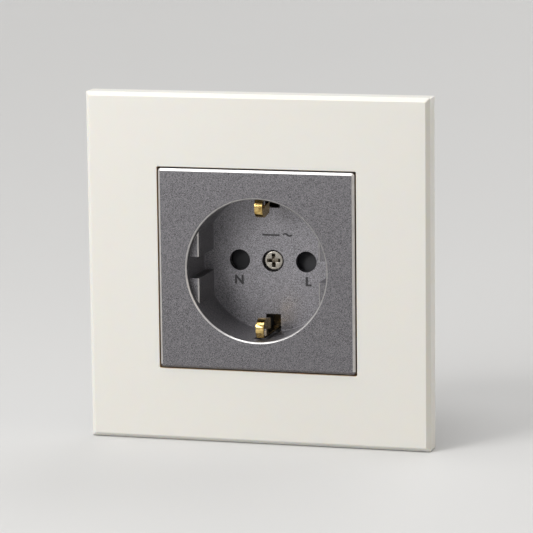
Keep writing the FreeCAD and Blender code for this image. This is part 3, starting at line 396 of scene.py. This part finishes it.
whiteLook = {
    "dark": (0.766, 0.754, 0.711), "light": (0.794, 0.783, 0.740), "driftScale": 18.0,
    "roughness": (0.30, 0.37), "glossScale": 220.0, "ior": 1.5, "specular": 0.4,
    "grainScale": 2400.0, "grain": 0.05, "grainDepth": 0.02,
    "through": 0.35, "throughDepth": 0.0016, "throughColour": (1.0, 0.75, 0.45)}
whiteCover = plasticMaterial("whiteCover", whiteLook)
# the wall of the opening in warm brown: painted shade in the gap, with a painted warm glow
warmShadeEdge = plasticMaterial("warmShadeEdge", {
    **whiteLook, "dark": (0.56, 0.40, 0.22), "light": (0.60, 0.43, 0.25)})
housingPlastic = plasticMaterial("housingPlastic", {
    "dark": (0.055, 0.055, 0.06), "light": (0.075, 0.075, 0.08), "driftScale": 60.0,
    "roughness": (0.48, 0.62), "glossScale": 400.0, "ior": 1.5, "specular": 0.5,
    "grainScale": 3200.0, "grain": 0.25, "grainDepth": 0.03})
shutterPlastic = plasticMaterial("shutterPlastic", {
    "dark": (0.024, 0.024, 0.028), "light": (0.036, 0.036, 0.041), "driftScale": 120.0,
    "roughness": (0.42, 0.55), "glossScale": 500.0, "ior": 1.45, "specular": 0.28,
    "grainScale": 2600.0, "grain": 0.12, "grainDepth": 0.02})
silverLook = {
    "dark": (0.032, 0.031, 0.034), "light": (0.272, 0.264, 0.281), "metallic": 0.80, "coat": 0.15,
    "coatRoughness": 0.3, "flakeScale": 9400.0, "fineScale": 11000.0, "flakeShare": 0.7,
    "shineRange": (0.15, 0.85),
    "roughness": (0.36, 0.50), "tilt": 0.2, "tiltDepth": 0.03, "grain": 0.15, "grainDepth": 0.02,
    # painted light: the recess floor in lighter colours than the face
    "floorShadingDark": (0.070, 0.068, 0.075), "floorShadingLight": (0.425, 0.415, 0.442),
    "floorShadingReach": (9.0, 9.9)}
silverCover = flakeMaterial("silverCover", silverLook)
# painted shade: the floor marks take darker floor colours, standing in for the shadow in their
# strokes
shadedMarkSilver = flakeMaterial("shadedMarkSilver", {
    **silverLook, "floorShadingDark": (0.030, 0.029, 0.031), "floorShadingLight": (0.090, 0.088, 0.092)})
# lighter metal on the bevels: partly a cut finish, partly painted highlight
cutEdgeHighlight = metalMaterial("cutEdgeHighlight", {
    "dark": (0.50, 0.49, 0.49), "light": (0.61, 0.60, 0.59), "cloudScale": 600.0, "metallic": 0.62,
    "roughness": (0.28, 0.38), "lineScale": 2600.0, "stretch": (1.0, 1.0, 0.3),
    "lines": 0.08, "lineDepth": 0.01})
# nickel, with painted shade in the cross recess and round the rim of the head
nickel = metalMaterial("nickel", {
    "dark": (0.27, 0.25, 0.22), "light": (0.43, 0.405, 0.36), "cloudScale": 900.0,
    "roughness": (0.20, 0.36), "lineScale": 2500.0, "stretch": (1.0, 0.15, 1.0),
    "lines": 0.14, "lineDepth": 0.012, "paintedShade": (0.21, 0.185, 0.15), "paintedShadeReach": (11.25, 11.9)})
zincSteel = metalMaterial("zincSteel", {
    "dark": (0.50, 0.51, 0.53), "light": (0.68, 0.69, 0.70), "cloudScale": 260.0,
    "roughness": (0.36, 0.43), "lineScale": 3000.0, "stretch": (0.2, 1.0, 1.0),
    "lines": 0.04, "lineDepth": 0.005})
# gold strip, with painted shade where it runs back into the slots
goldStrip = metalMaterial("goldStrip", {
    "dark": (0.26, 0.16, 0.045), "light": (0.84, 0.62, 0.25), "cloudScale": 1100.0,
    "roughness": (0.10, 0.22), "lineScale": 1500.0, "stretch": (1.0, 0.5, 1.0),
    "lines": 0.30, "lineDepth": 0.05, "paintedShade": (0.030, 0.022, 0.012), "paintedShadeReach": (11.0, 13.0)})
springSteel = metalMaterial("springSteel", {
    "dark": (0.42, 0.42, 0.44), "light": (0.58, 0.58, 0.60), "cloudScale": 700.0,
    "roughness": (0.20, 0.34), "lineScale": 2000.0, "stretch": (0.15, 1.0, 1.0),
    "lines": 0.12, "lineDepth": 0.01})
contactBronze = metalMaterial("contactBronze", {
    "dark": (0.66, 0.42, 0.22), "light": (0.82, 0.56, 0.32), "cloudScale": 600.0,
    "roughness": (0.20, 0.34), "lineScale": 1800.0, "stretch": (1.0, 0.15, 1.0),
    "lines": 0.12, "lineDepth": 0.01})
print("materials made")


# cover frame
def roundedProfile(corners, radius, steps):
    # each corner of a closed outline becomes an arc
    points = []
    for number, corner in enumerate(corners):
        here = Vector(corner)
        before = (Vector(corners[number - 1]) - here).normalized()
        after = (Vector(corners[(number + 1) % len(corners)]) - here).normalized()
        half = before.angle(after) / 2
        setBack = radius / math.tan(half)
        centre = here + (before + after).normalized() * radius / math.sin(half)
        first = here + before * setBack - centre
        last = here + after * setBack - centre
        sweep = first.angle_signed(last)
        for step in range(steps + 1):
            turn = Matrix.Rotation(-sweep * step / steps, 2)
            points.append(centre + turn @ first)
    return points


def squareRing(half, level, radius, steps):
    # one turn round a square with rounded corners
    ring = []
    for quarter in range(4):
        diagonal = math.pi / 4 + math.pi / 2 * quarter
        side = (math.copysign(1, math.cos(diagonal)), math.copysign(1, math.sin(diagonal)))
        for step in range(steps + 1):
            angle = math.pi / 2 * (quarter + step / steps)
            ring.append((side[0] * (half - radius) + radius * math.cos(angle), -level,
                         side[1] * (half - radius) + radius * math.sin(angle)))
    return ring


def loftRings(name, rings):
    count = len(rings[0])
    points = [Vector(point) * mm for ring in rings for point in ring]
    faces = []
    for row in range(len(rings)):
        here, there = row * count, (row + 1) % len(rings) * count
        for column in range(count):
            following = (column + 1) % count
            faces.append((here + column, here + following, there + following, there + column))
    return meshFrom(name, points, faces)


coverFrameSizes = {
    "bevel": 1.1, "wall": 1.8, "edge": 0.16, "corner": 0.3, "openingGap": 0.35,
    "ledgeWidth": 2.4, "ledgeFront": 3.35, "ledgeBack": 4.85, "collar": 1.6, "plate": 1.0,
    "ribWall": 1.2, "ribSpread": 36.0, "ribBack": 1.3, "ribSink": 0.4, "ribOverlap": 0.6,
    "edgeSteps": 3, "cornerSteps": 4, "warmShadeReach": 0.3, "warmShadeTilt": 0.8}


def buildCoverFrame(sizes):
    low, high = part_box("cover_frame")
    outer = high.x / mm
    front = -low.y / mm
    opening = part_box("centre_plate")[1].x / mm + sizes["openingGap"]
    inner = outer - sizes["wall"]
    frontBack = front - sizes["wall"]
    ledgeFront = front - sizes["ledgeFront"]
    ledgeBack = front - sizes["ledgeBack"]
    lip = opening - sizes["ledgeWidth"]
    collar = opening + sizes["collar"]
    outline = [
        (outer, 0), (outer, front - sizes["bevel"]), (outer - sizes["bevel"], front),
        (opening, front), (opening, ledgeFront), (lip, ledgeFront), (lip, ledgeBack),
        (opening, ledgeBack), (opening, sizes["plate"]),
        (collar, sizes["plate"]), (collar, frontBack), (inner, frontBack), (inner, 0)]
    profile = roundedProfile(outline, sizes["edge"], sizes["edgeSteps"])
    corner, steps = sizes["corner"], sizes["cornerSteps"]
    rings = [squareRing(point.x, point.y, corner, steps) for point in profile]
    shell = linkObject("coverFrame", loftRings("coverFrame", rings))
    for face in shell.data.polygons:
        face.use_smooth = True
    evenNormals(shell)
    bakeModifiers(shell)
    reach = (collar + inner) / 2
    depth = frontBack - sizes["ribBack"] + sizes["ribSink"]
    ribs = growMesh("frameRibs", barTree, {
        "Count": 2, "Spacing": sizes["ribSpread"] * mm,
        "Length": (inner - collar + sizes["ribOverlap"]) * mm, "Width": sizes["ribWall"] * mm,
        "Height": depth * mm, "Reach": reach * mm, "Turns": 4}, whiteCover)
    ribs.transform(Matrix.Translation((0, -(sizes["ribBack"] + depth / 2) * mm, 0)) @ toFront)
    shell.data = joinMeshes("coverFrame", [shell.data, ribs])
    finishPiece(shell, whiteCover, "cover_frame")
    shell.data.materials.append(warmShadeEdge)  # for the wall of the opening: painted shade with a painted warm glow
    for face in shell.data.polygons:
        fromAxis = max(abs(face.center.x), abs(face.center.z)) / mm
        onWall = abs(fromAxis - opening) < sizes["warmShadeReach"]
        if onWall and abs(face.normal.y) < sizes["warmShadeTilt"]:
            face.material_index = 1


buildCoverFrame(coverFrameSizes)
print("cover frame built")


# centre plate with its marks
centrePlateSizes = {"edge": 0.09, "cutDepth": 3.6, "highlightAbove": -26.5, "tilt": (0.45, 0.92)}
markSizes = {
    "floorY": 10.25, "raise": 0.25, "sink": 0.05,
    "letter": 2.5, "fontScale": 1.38, "bold": 0.05, "letterEdge": 0.03,
    "leftX": -9.7, "rightX": 10.0, "letterZ": -5.6,
    "barX": -0.5, "barZ": 7.25, "barLength": 4.8, "barHeight": 0.42,
    "waveX": 4.2, "waveZ": 7.4, "waveLength": 2.5, "waveHeight": 0.34, "waveWidth": 0.36,
    "waveSteps": 28}


def letterMesh(letter, sizes, across):
    curve = bpy.data.curves.new("mark", type="FONT")
    curve.body = letter
    curve.size = sizes["letter"] * sizes["fontScale"] * mm
    curve.align_x = "CENTER"
    curve.align_y = "CENTER"
    curve.extrude = sizes["raise"] * mm
    curve.offset = sizes["bold"] * mm
    curve.bevel_depth = sizes["letterEdge"] * mm
    curve.bevel_resolution = 1
    holder = linkObject("mark", curve)
    bpy.context.view_layer.update()
    mesh = bpy.data.meshes.new_from_object(holder)
    bpy.data.objects.remove(holder)
    spot = (across * mm, sizes["floorY"] * mm, sizes["letterZ"] * mm)
    mesh.transform(Matrix.Translation(spot) @ toFront)
    return mesh


def waveMesh(sizes):
    # a short raised sine line
    steps = sizes["waveSteps"]
    half = sizes["waveWidth"] / 2
    spots = []
    for step in range(steps + 1):
        share = step / steps
        x = (share - 0.5) * sizes["waveLength"]
        z = sizes["waveHeight"] * math.sin(2 * math.pi * share)
        slope = (2 * math.pi * sizes["waveHeight"] / sizes["waveLength"]
                 * math.cos(2 * math.pi * share))
        normal = Vector((-slope, 1)).normalized() * half
        spots.append(((x + normal.x, z + normal.y), (x - normal.x, z - normal.y)))
    points, faces = [], []
    floor, top = sizes["floorY"] + sizes["sink"], sizes["floorY"] - sizes["raise"]
    for upper, lower in spots:
        for spot, level in ((upper, floor), (upper, top), (lower, top), (lower, floor)):
            points.append(Vector((sizes["waveX"] + spot[0], level, sizes["waveZ"] + spot[1])) * mm)
    for step in range(steps):
        for side in range(4):
            here, there = step * 4, step * 4 + 4
            following = (side + 1) % 4
            faces.append((here + side, here + following, there + following, there + side))
    faces += [(0, 1, 2, 3), tuple(steps * 4 + side for side in (3, 2, 1, 0))]
    return meshFrom("wave", points, faces)


def boxMesh(name, low, high):
    mesh = bpy.data.meshes.new(name)

    def change(work):
        bmesh.ops.create_cube(work, size=1.0)
        size = Vector(high) - Vector(low)
        middle = (Vector(high) + Vector(low)) / 2
        place = Matrix.Translation(middle * mm) @ Matrix.Diagonal((*(size * mm), 1))
        bmesh.ops.transform(work, matrix=place, verts=work.verts)
    return editMesh(mesh, change)


def buildCentrePlate(sizes, marks):
    plate = softenedCopy("centre_plate", "centrePlate", sizes["edge"])
    finishPiece(plate, silverCover, "centre_plate")
    plate.data.materials.append(cutEdgeHighlight)  # for the bevels, a cut finish with painted highlight; the lower bevel keeps the silver as painted shade
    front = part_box("centre_plate")[0].y
    # the bevels below highlightAbove keep the plain silver: painted shade on the lower bevel
    for face in plate.data.polygons:
        slanted = sizes["tilt"][0] < -face.normal.y < sizes["tilt"][1]
        nearFront = face.center.y < front + sizes["cutDepth"] * mm
        if slanted and nearFront and face.center.z > sizes["highlightAbove"] * mm:
            face.material_index = 1
    top, floor = marks["floorY"] - marks["raise"], marks["floorY"] + marks["sink"]
    across, along = marks["barLength"] / 2, marks["barHeight"] / 2
    bar = boxMesh("bar", (marks["barX"] - across, top, marks["barZ"] - along),
                  (marks["barX"] + across, floor, marks["barZ"] + along))
    letters = [letterMesh("N", marks, marks["leftX"]), letterMesh("L", marks, marks["rightX"])]
    mesh = joinMeshes("floorMarks", [bar, waveMesh(marks)] + letters)
    finishPiece(linkObject("floorMarks", outward(mesh)), shadedMarkSilver)


buildCentrePlate(centrePlateSizes, markSizes)
print("centre plate built")


# screws
def turnedMesh(name, profile, steps=72):
    # profile of (radius, height) turned about Z, closed at both ends
    points, faces = [], []
    for radius, height in profile:
        for step in range(steps):
            angle = 2 * math.pi * step / steps
            points.append(Vector((radius * math.cos(angle), radius * math.sin(angle), height)) * mm)
    for row in range(len(profile) - 1):
        for step in range(steps):
            following = (step + 1) % steps
            here, there = row * steps, (row + 1) * steps
            faces.append((here + step, here + following, there + following, there + step))
    faces.append(tuple(range(steps - 1, -1, -1)))
    faces.append(tuple((len(profile) - 1) * steps + step for step in range(steps)))
    return meshFrom(name, points, faces)


def cutWith(piece, cutterMesh):
    cutter = linkObject("cutter", cutterMesh)
    cut = piece.modifiers.new("cut", "BOOLEAN")
    cut.operation = "DIFFERENCE"
    cut.solver = "EXACT"
    cut.object = cutter
    bakeModifiers(piece)
    bpy.data.objects.remove(cutter)


def crossCutter(sizes):
    # four arms that taper downwards from just under the top of the head
    arm, reach, depth = sizes["arm"] / 2, sizes["span"] / 2, sizes["recess"]
    shorter, thinner = sizes["taper"]
    outline = [(-reach, -arm), (-arm, -arm), (-arm, -reach), (arm, -reach), (arm, -arm),
               (reach, -arm), (reach, arm), (arm, arm), (arm, reach), (-arm, reach),
               (-arm, arm), (-reach, arm)]
    points = [Vector((x, y, sizes["above"])) * mm for x, y in outline]
    points += [Vector((x, y, -sizes["straight"])) * mm for x, y in outline]
    points += [Vector((x * shorter, y * thinner, -depth)) * mm if abs(x) > abs(y)
               else Vector((x * thinner, y * shorter, -depth)) * mm for x, y in outline]
    count = len(outline)
    faces = [tuple(range(count - 1, -1, -1)), tuple(range(2 * count, 3 * count))]
    for layer in range(2):
        for number in range(count):
            following = (number + 1) % count
            here, there = layer * count, (layer + 1) * count
            faces.append((here + number, here + following, there + following, there + number))
    return meshFrom("cross", points, faces)


def slotCutter(sizes):
    half, reach = sizes["slot"] / 2, sizes["head"] + sizes["above"]
    return boxMesh("slotCut", (-reach, -half, -sizes["recess"]), (reach, half, sizes["above"]))


screwShape = {
    "edge": 0.04, "edgeAngle": 35, "creaseAngle": 38, "axis": 0.02, "domeSteps": 6, "chamfer": 0.12,
    "tipLength": 0.5, "tipTaper": 0.45, "threadStart": 0.6, "threadShort": 1.2}


def buildScrew(name, sizes, place, material, node=None):
    # top of the head at z = 0 before it is put in place, shank downwards
    shape = screwShape
    head, dome, height = sizes["head"], sizes["dome"], sizes["headHeight"]
    core = sizes["shank"] - sizes["ridge"]
    rim = []
    for step in range(shape["domeSteps"] + 1):
        angle = math.pi / 2 * step / shape["domeSteps"]
        rim.append((head - dome + dome * math.sin(angle), -dome + dome * math.cos(angle)))
    length, chamfer = sizes["length"], shape["chamfer"]
    shank = [(head, -height + chamfer), (head - chamfer, -height), (core, -height),
             (core, -height - length + shape["tipLength"]),
             (core - shape["tipTaper"], -height - length), (shape["axis"], -height - length)]
    screw = linkObject(name, turnedMesh(name, [(shape["axis"], 0)] + rim + shank))
    cutWith(screw, crossCutter(sizes) if "span" in sizes else slotCutter(sizes))
    softenEdges(screw, shape["edge"], shape["edgeAngle"])
    ridge = growMesh("thread", threadTree, {
        "Radius": core * mm, "Pitch": sizes["pitch"] * mm,
        "Length": (length - shape["threadShort"]) * mm, "Ridge": sizes["ridge"] * mm}, material)
    ridge.transform(Matrix.Translation((0, 0, (-height - length + shape["threadStart"]) * mm)))
    screw.data = joinMeshes(name, [screw.data, ridge])
    screw.data.transform(place)
    for face in screw.data.polygons:
        face.use_smooth = True
    screw.data.set_sharp_from_angle(angle=math.radians(shape["creaseAngle"]))
    if node:
        finishPiece(screw, material, node)
    return screw


centreScrewSizes = {
    "head": 2.75, "dome": 0.45, "headHeight": 1.9, "shank": 1.5, "length": 9.5, "ridge": 0.16,
    "pitch": 0.6, "arm": 1.05, "span": 3.8, "recess": 1.6, "above": 0.4, "straight": 0.05,
    "taper": (0.42, 0.75), "turn": 2.0}
terminalScrewSizes = {
    "head": 3.2, "dome": 0.35, "headHeight": 2.0, "shank": 1.9, "length": 5.3, "ridge": 0.18,
    "pitch": 0.7, "slot": 0.8, "recess": 0.9, "above": 0.5, "turn": 25, "turnMore": 40}
coverScrewSizes = {
    "head": 1.8, "dome": 0.35, "headHeight": 1.1, "shank": 0.9, "length": 8.1, "ridge": 0.14,
    "pitch": 0.6, "slot": 0.8, "recess": 0.55, "above": 0.5, "turns": (35, -50)}
terminals = (("line", 0), ("earth", 1), ("neutral", 2))  # quarter turns about the plug's axis


def quarterTurn(quarter):
    return Matrix.Rotation(math.radians(-90 * quarter), 4, "Y")


def buildCentreScrew(sizes):
    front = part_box("centre_screw")[0].y
    turned = Matrix.Rotation(math.radians(sizes["turn"]), 4, "Z")
    place = Matrix.Translation((0, front, 0)) @ toFront @ turned
    buildScrew("centreScrew", sizes, place, nickel, "centre_screw")


def buildTerminals(sizes):
    low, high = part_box("line_terminal_screw")
    level = (low.y + high.y) / 2
    for name, quarter in terminals:
        slotTurn = math.radians(sizes["turn"] + sizes["turnMore"] * quarter)
        place = quarterTurn(quarter) @ Matrix.Translation((high.x, level, 0)) @ toSide
        place = place @ Matrix.Rotation(slotTurn, 4, "Z")
        buildScrew(name + "TerminalScrew", sizes, place, zincSteel,
                   name + "_terminal_screw")


def buildCoverScrews(sizes):
    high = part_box("cover_screws")[1]
    reach = high.x - sizes["head"] * mm
    meshes = []
    for side, turn in zip((-1, 1), sizes["turns"]):
        slotTurn = Matrix.Rotation(math.radians(turn), 4, "Z")
        place = Matrix.Translation((side * reach, high.y, -side * reach)) @ toFront
        place = place @ Matrix.Rotation(math.pi, 4, "X") @ slotTurn
        screw = buildScrew("coverScrew", sizes, place, zincSteel)
        meshes.append(screw.data)
        bpy.data.objects.remove(screw)
    pair = linkObject("coverScrews", joinMeshes("coverScrews", meshes))
    finishPiece(pair, zincSteel, "cover_screws")


buildCentreScrew(centreScrewSizes)
buildTerminals(terminalScrewSizes)
buildCoverScrews(coverScrewSizes)
print("screws built")


# rear cover with its wire entries
rearCoverSizes = {
    "edge": 0.25, "entry": 1.5, "entryIn": 1.1, "spread": 3.4, "collar": 0.28, "collarGap": 0.1}


def buildRearCover(sizes):
    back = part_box("rear_cover")[1].y
    cover = softenedCopy("rear_cover", "rearCover", sizes["edge"])
    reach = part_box("line_clamp_plate")[0].x / mm - sizes["entryIn"]
    spots = []
    for sign in (-1, 1):
        beside = sign * sizes["spread"]
        spots += [(reach, beside), (-reach, beside), (beside, reach)]
    points = bpy.data.meshes.new("entrySpots")
    points.from_pydata([(x * mm, y * mm, 0) for x, y in spots], [], [])
    collars = growMesh("entryCollars", collarTree, {
        "Radius": (sizes["entry"] + sizes["collarGap"]) * mm,
        "Thickness": sizes["collar"] * mm}, housingPlastic, points)
    collars.transform(Matrix.Translation((0, back, 0)) @ toFront)
    for face in collars.polygons:
        face.use_smooth = True
    cover.data = joinMeshes("rearCover", [cover.data, collars])
    finishPiece(cover, housingPlastic, "rear_cover")


buildRearCover(rearCoverSizes)


# clamp plates, with ridges that bite on the wires
clampSizes = {"edge": 0.12, "ridges": 5, "spacing": 1.2, "ridge": 0.22, "length": 8.2}


def buildClampPlates(sizes):
    low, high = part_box("line_clamp_plate")
    level = (low.y + high.y) / 2
    for name, quarter in terminals:
        plate = softenedCopy(name + "_clamp_plate", name + "ClampPlate", sizes["edge"])
        ridges = growMesh("clampRidges", barTree, {
            "Count": sizes["ridges"], "Spacing": sizes["spacing"] * mm,
            "Length": sizes["length"] * mm, "Width": sizes["ridge"] * mm,
            "Height": sizes["ridge"] * mm}, zincSteel)
        ridges.transform(quarterTurn(quarter) @ Matrix.Translation((low.x, level, 0)) @ toSide)
        plate.data = joinMeshes(name + "ClampPlate", [plate.data, ridges])
        finishPiece(plate, zincSteel, name + "_clamp_plate")


buildClampPlates(clampSizes)
print("rear cover and clamps built")


# the other pieces keep their CAD form, with rounded edges
plainPieces = {  # node: piece, material, slot, rounding of its edges
    "screw_nut": ("screwNut", zincSteel, "zinc_steel", 0.15),
    "mounting_plate": ("mountingPlate", zincSteel, "zinc_steel", 0.12),
    "contact_housing": ("contactHousing", housingPlastic, "housing_plastic", 0.2),
    "line_contact": ("lineContact", contactBronze, "contact_bronze", 0.1),
    "neutral_contact": ("neutralContact", contactBronze, "contact_bronze", 0.1),
    "line_grip_spring": ("lineGripSpring", springSteel, "spring_steel", 0.06),
    "neutral_grip_spring": ("neutralGripSpring", springSteel, "spring_steel", 0.06)}


def buildPlainPieces(table):
    for node, (name, material, slotName, edge) in table.items():
        finishPiece(softenedCopy(node, name, edge), material, node)


noseSizes = {
    "edge": 0.1, "inner": 13.75, "outer": 18.6, "slices": 14, "crown": 0.85, "bent": -3.0,
    "straight": 0.5}


def buildEarthBridge(sizes):
    # both noses bow a little towards the front; the strip behind "straight" keeps its form
    inner, outer = sizes["inner"], sizes["outer"]
    middle, half = (inner + outer) / 2, (outer - inner) / 2

    def bow(work):
        for number in range(sizes["slices"]):
            level = inner + (outer - inner) * (number + 0.5) / sizes["slices"]
            for height in (-level, level):
                everything = work.verts[:] + work.edges[:] + work.faces[:]
                bmesh.ops.bisect_plane(work, geom=everything, plane_co=(0, 0, height * mm),
                                       plane_no=(0, 0, 1))
        for vert in work.verts:
            near = (sizes["straight"] - vert.co.y / mm) / (sizes["straight"] - sizes["bent"])
            share = (abs(vert.co.z) / mm - middle) / half
            vert.co.y += sizes["crown"] * mm * min(max(near, 0), 1) * min(share * share, 1)

    bridge = softenedCopy("earth_bridge", "earthBridge", sizes["edge"], bow)
    finishPiece(bridge, goldStrip, "earth_bridge")


sliderSizes = {"edge": 0.2, "springEdge": 0.05}


def buildSlider(sizes):
    slider = softenedCopy("shutter", "slider", sizes["edge"])
    finishPiece(slider, shutterPlastic, "shutter", "slider")
    bow = softenedCopy("shutter_spring", "sliderSpring", sizes["springEdge"])
    finishPiece(bow, springSteel, "shutter_spring")
    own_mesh(bow)


buildPlainPieces(plainPieces)
buildEarthBridge(noseSizes)
buildSlider(sliderSizes)
print("inner pieces built")


# stage, lights and camera
stageSizes = {  # lengths in metres
    "reach": 9.0, "drop": 0.0001, "colour": (0.62, 0.62, 0.617), "paper": 0.985, "paperScale": 6.0,
    "bounce": 0.90, "ambient": 0.11, "seen": 0.66}


def seenDirectly(tree):
    # one for what the camera sees, also mirrored in metal or through a clear piece
    rays = addNode(tree, "ShaderNodeLightPath")
    mirrored = calculate(tree, "ADD", rays["Is Glossy Ray"], rays["Is Transmission Ray"])
    return calculate(tree, "ADD", rays["Is Camera Ray"], mirrored)


def buildStage(sizes):
    reach, height = sizes["reach"], cadBox[0].z - sizes["drop"]
    mesh = bpy.data.meshes.new("floor")
    corners = [(-reach, -reach), (reach, -reach), (reach, reach), (-reach, reach)]
    mesh.from_pydata([(x, y, height) for x, y in corners], [], [(0, 1, 2, 3)])
    floor = linkObject("floor", mesh)
    material, tree, shader, place = newMaterial("paleFloor", {
        "Roughness": 0.6, "Specular IOR Level": 0.2})
    paper = noiseOf(tree, place, sizes["paperScale"])
    tint = sizes["colour"]
    pale = blendColours(tree, paper, tuple(sizes["paper"] * value for value in tint), tint)
    dimmed = tuple(sizes["bounce"] * value for value in tint)
    colour = blendColours(tree, seenDirectly(tree), dimmed, pale)
    tree.links.new(colour, shader.inputs["Base Color"])
    mesh.materials.append(material)
    world = bpy.data.worlds.new("studio")
    scene.world = world
    world.use_nodes = True
    tree = world.node_tree
    strength = ranged(tree, seenDirectly(tree), sizes["ambient"], sizes["seen"], 0.0, 1.0)
    background = tree.nodes["Background"]
    background.inputs["Color"].default_value = (1.0, 1.0, 1.0, 1)
    tree.links.new(strength, background.inputs["Strength"])


suns = {  # from: where each lamp stands, spread: its angle in degrees
    "daylight": {
        "from": (-0.72, -1.00, 0.66),
        "spread": 30.0, "strength": 0.50, "colour": (1.0, 0.99, 0.975)},
    "above": {
        "from": (-0.15, -0.18, 1.00),
        "spread": 45.0, "strength": 1.75, "colour": (1.0, 0.995, 0.985)},
    "fill": {
        "from": (0.90, -0.11, 0.16),
        "spread": 60.0, "strength": 0.48, "colour": (1.0, 0.85, 0.66)},
    "behind": {
        "from": (0.45, 1.00, 0.50),
        "spread": 60.0, "strength": 1.10, "colour": (1.0, 0.99, 0.98)}}
softboxes = {
    "window": {
        "from": (-0.552, -0.600, 0.576),
        "size": 0.41, "strength": 3.2, "colour": (1.0, 0.99, 0.975)},
    "front": {
        "from": (-0.169, -0.362, 0.130),
        "size": 0.10, "strength": 0.345, "colour": (1.0, 0.99, 0.98)}}


def placeLamp(name, light, values):
    # it looks at the middle of the wall face
    light.energy = values["strength"]
    light.color = values["colour"]
    holder = bpy.data.objects.new(name, light)
    holder.location = values["from"]
    holder.rotation_euler = (-Vector(values["from"])).to_track_quat("-Z", "Y").to_euler()
    scene.collection.objects.link(holder)


def buildLamps(distant, near):
    for name, lamp in distant.items():
        light = bpy.data.lights.new(name, "SUN")
        light.angle = math.radians(lamp["spread"])
        placeLamp(name, light, lamp)
    for name, lamp in near.items():
        light = bpy.data.lights.new(name, "AREA")
        light.shape = "SQUARE"
        light.size = lamp["size"]
        placeLamp(name, light, lamp)


cameraView = {  # degrees and metres, fitted to points of the photo
    "azimuth": 15.609, "elevation": 9.701, "roll": -0.65, "distance": 0.8659,
    "aim": (0.00302, -0.00725, 0.001477), "focalPixels": 3203.8, "photoWidth": 533,
    "sensor": 36.0, "nearest": 0.01}


def buildCamera(view):
    azimuth, elevation, roll = (math.radians(view[key]) for key in ("azimuth", "elevation", "roll"))
    level = math.cos(elevation)
    back = Vector((math.sin(azimuth) * level, -math.cos(azimuth) * level, math.sin(elevation)))
    right = (-back).cross(Vector((0, 0, 1))).normalized()
    up = right.cross(-back)
    rolledRight = math.cos(roll) * right + math.sin(roll) * up
    rolledUp = -math.sin(roll) * right + math.cos(roll) * up
    lens = bpy.data.cameras.new("camera")
    lens.sensor_width = view["sensor"]
    lens.lens = view["focalPixels"] / view["photoWidth"] * lens.sensor_width
    lens.clip_start = view["nearest"]
    camera = bpy.data.objects.new("camera", lens)
    turn = Matrix((rolledRight, rolledUp, back)).transposed().to_4x4()
    camera.matrix_world = Matrix.Translation(Vector(view["aim"]) + back * view["distance"]) @ turn
    scene.collection.objects.link(camera)
    scene.camera = camera


buildStage(stageSizes)
buildLamps(suns, softboxes)
buildCamera(cameraView)
scene.view_settings.view_transform = "Standard"
print("stage, lamps and camera set")
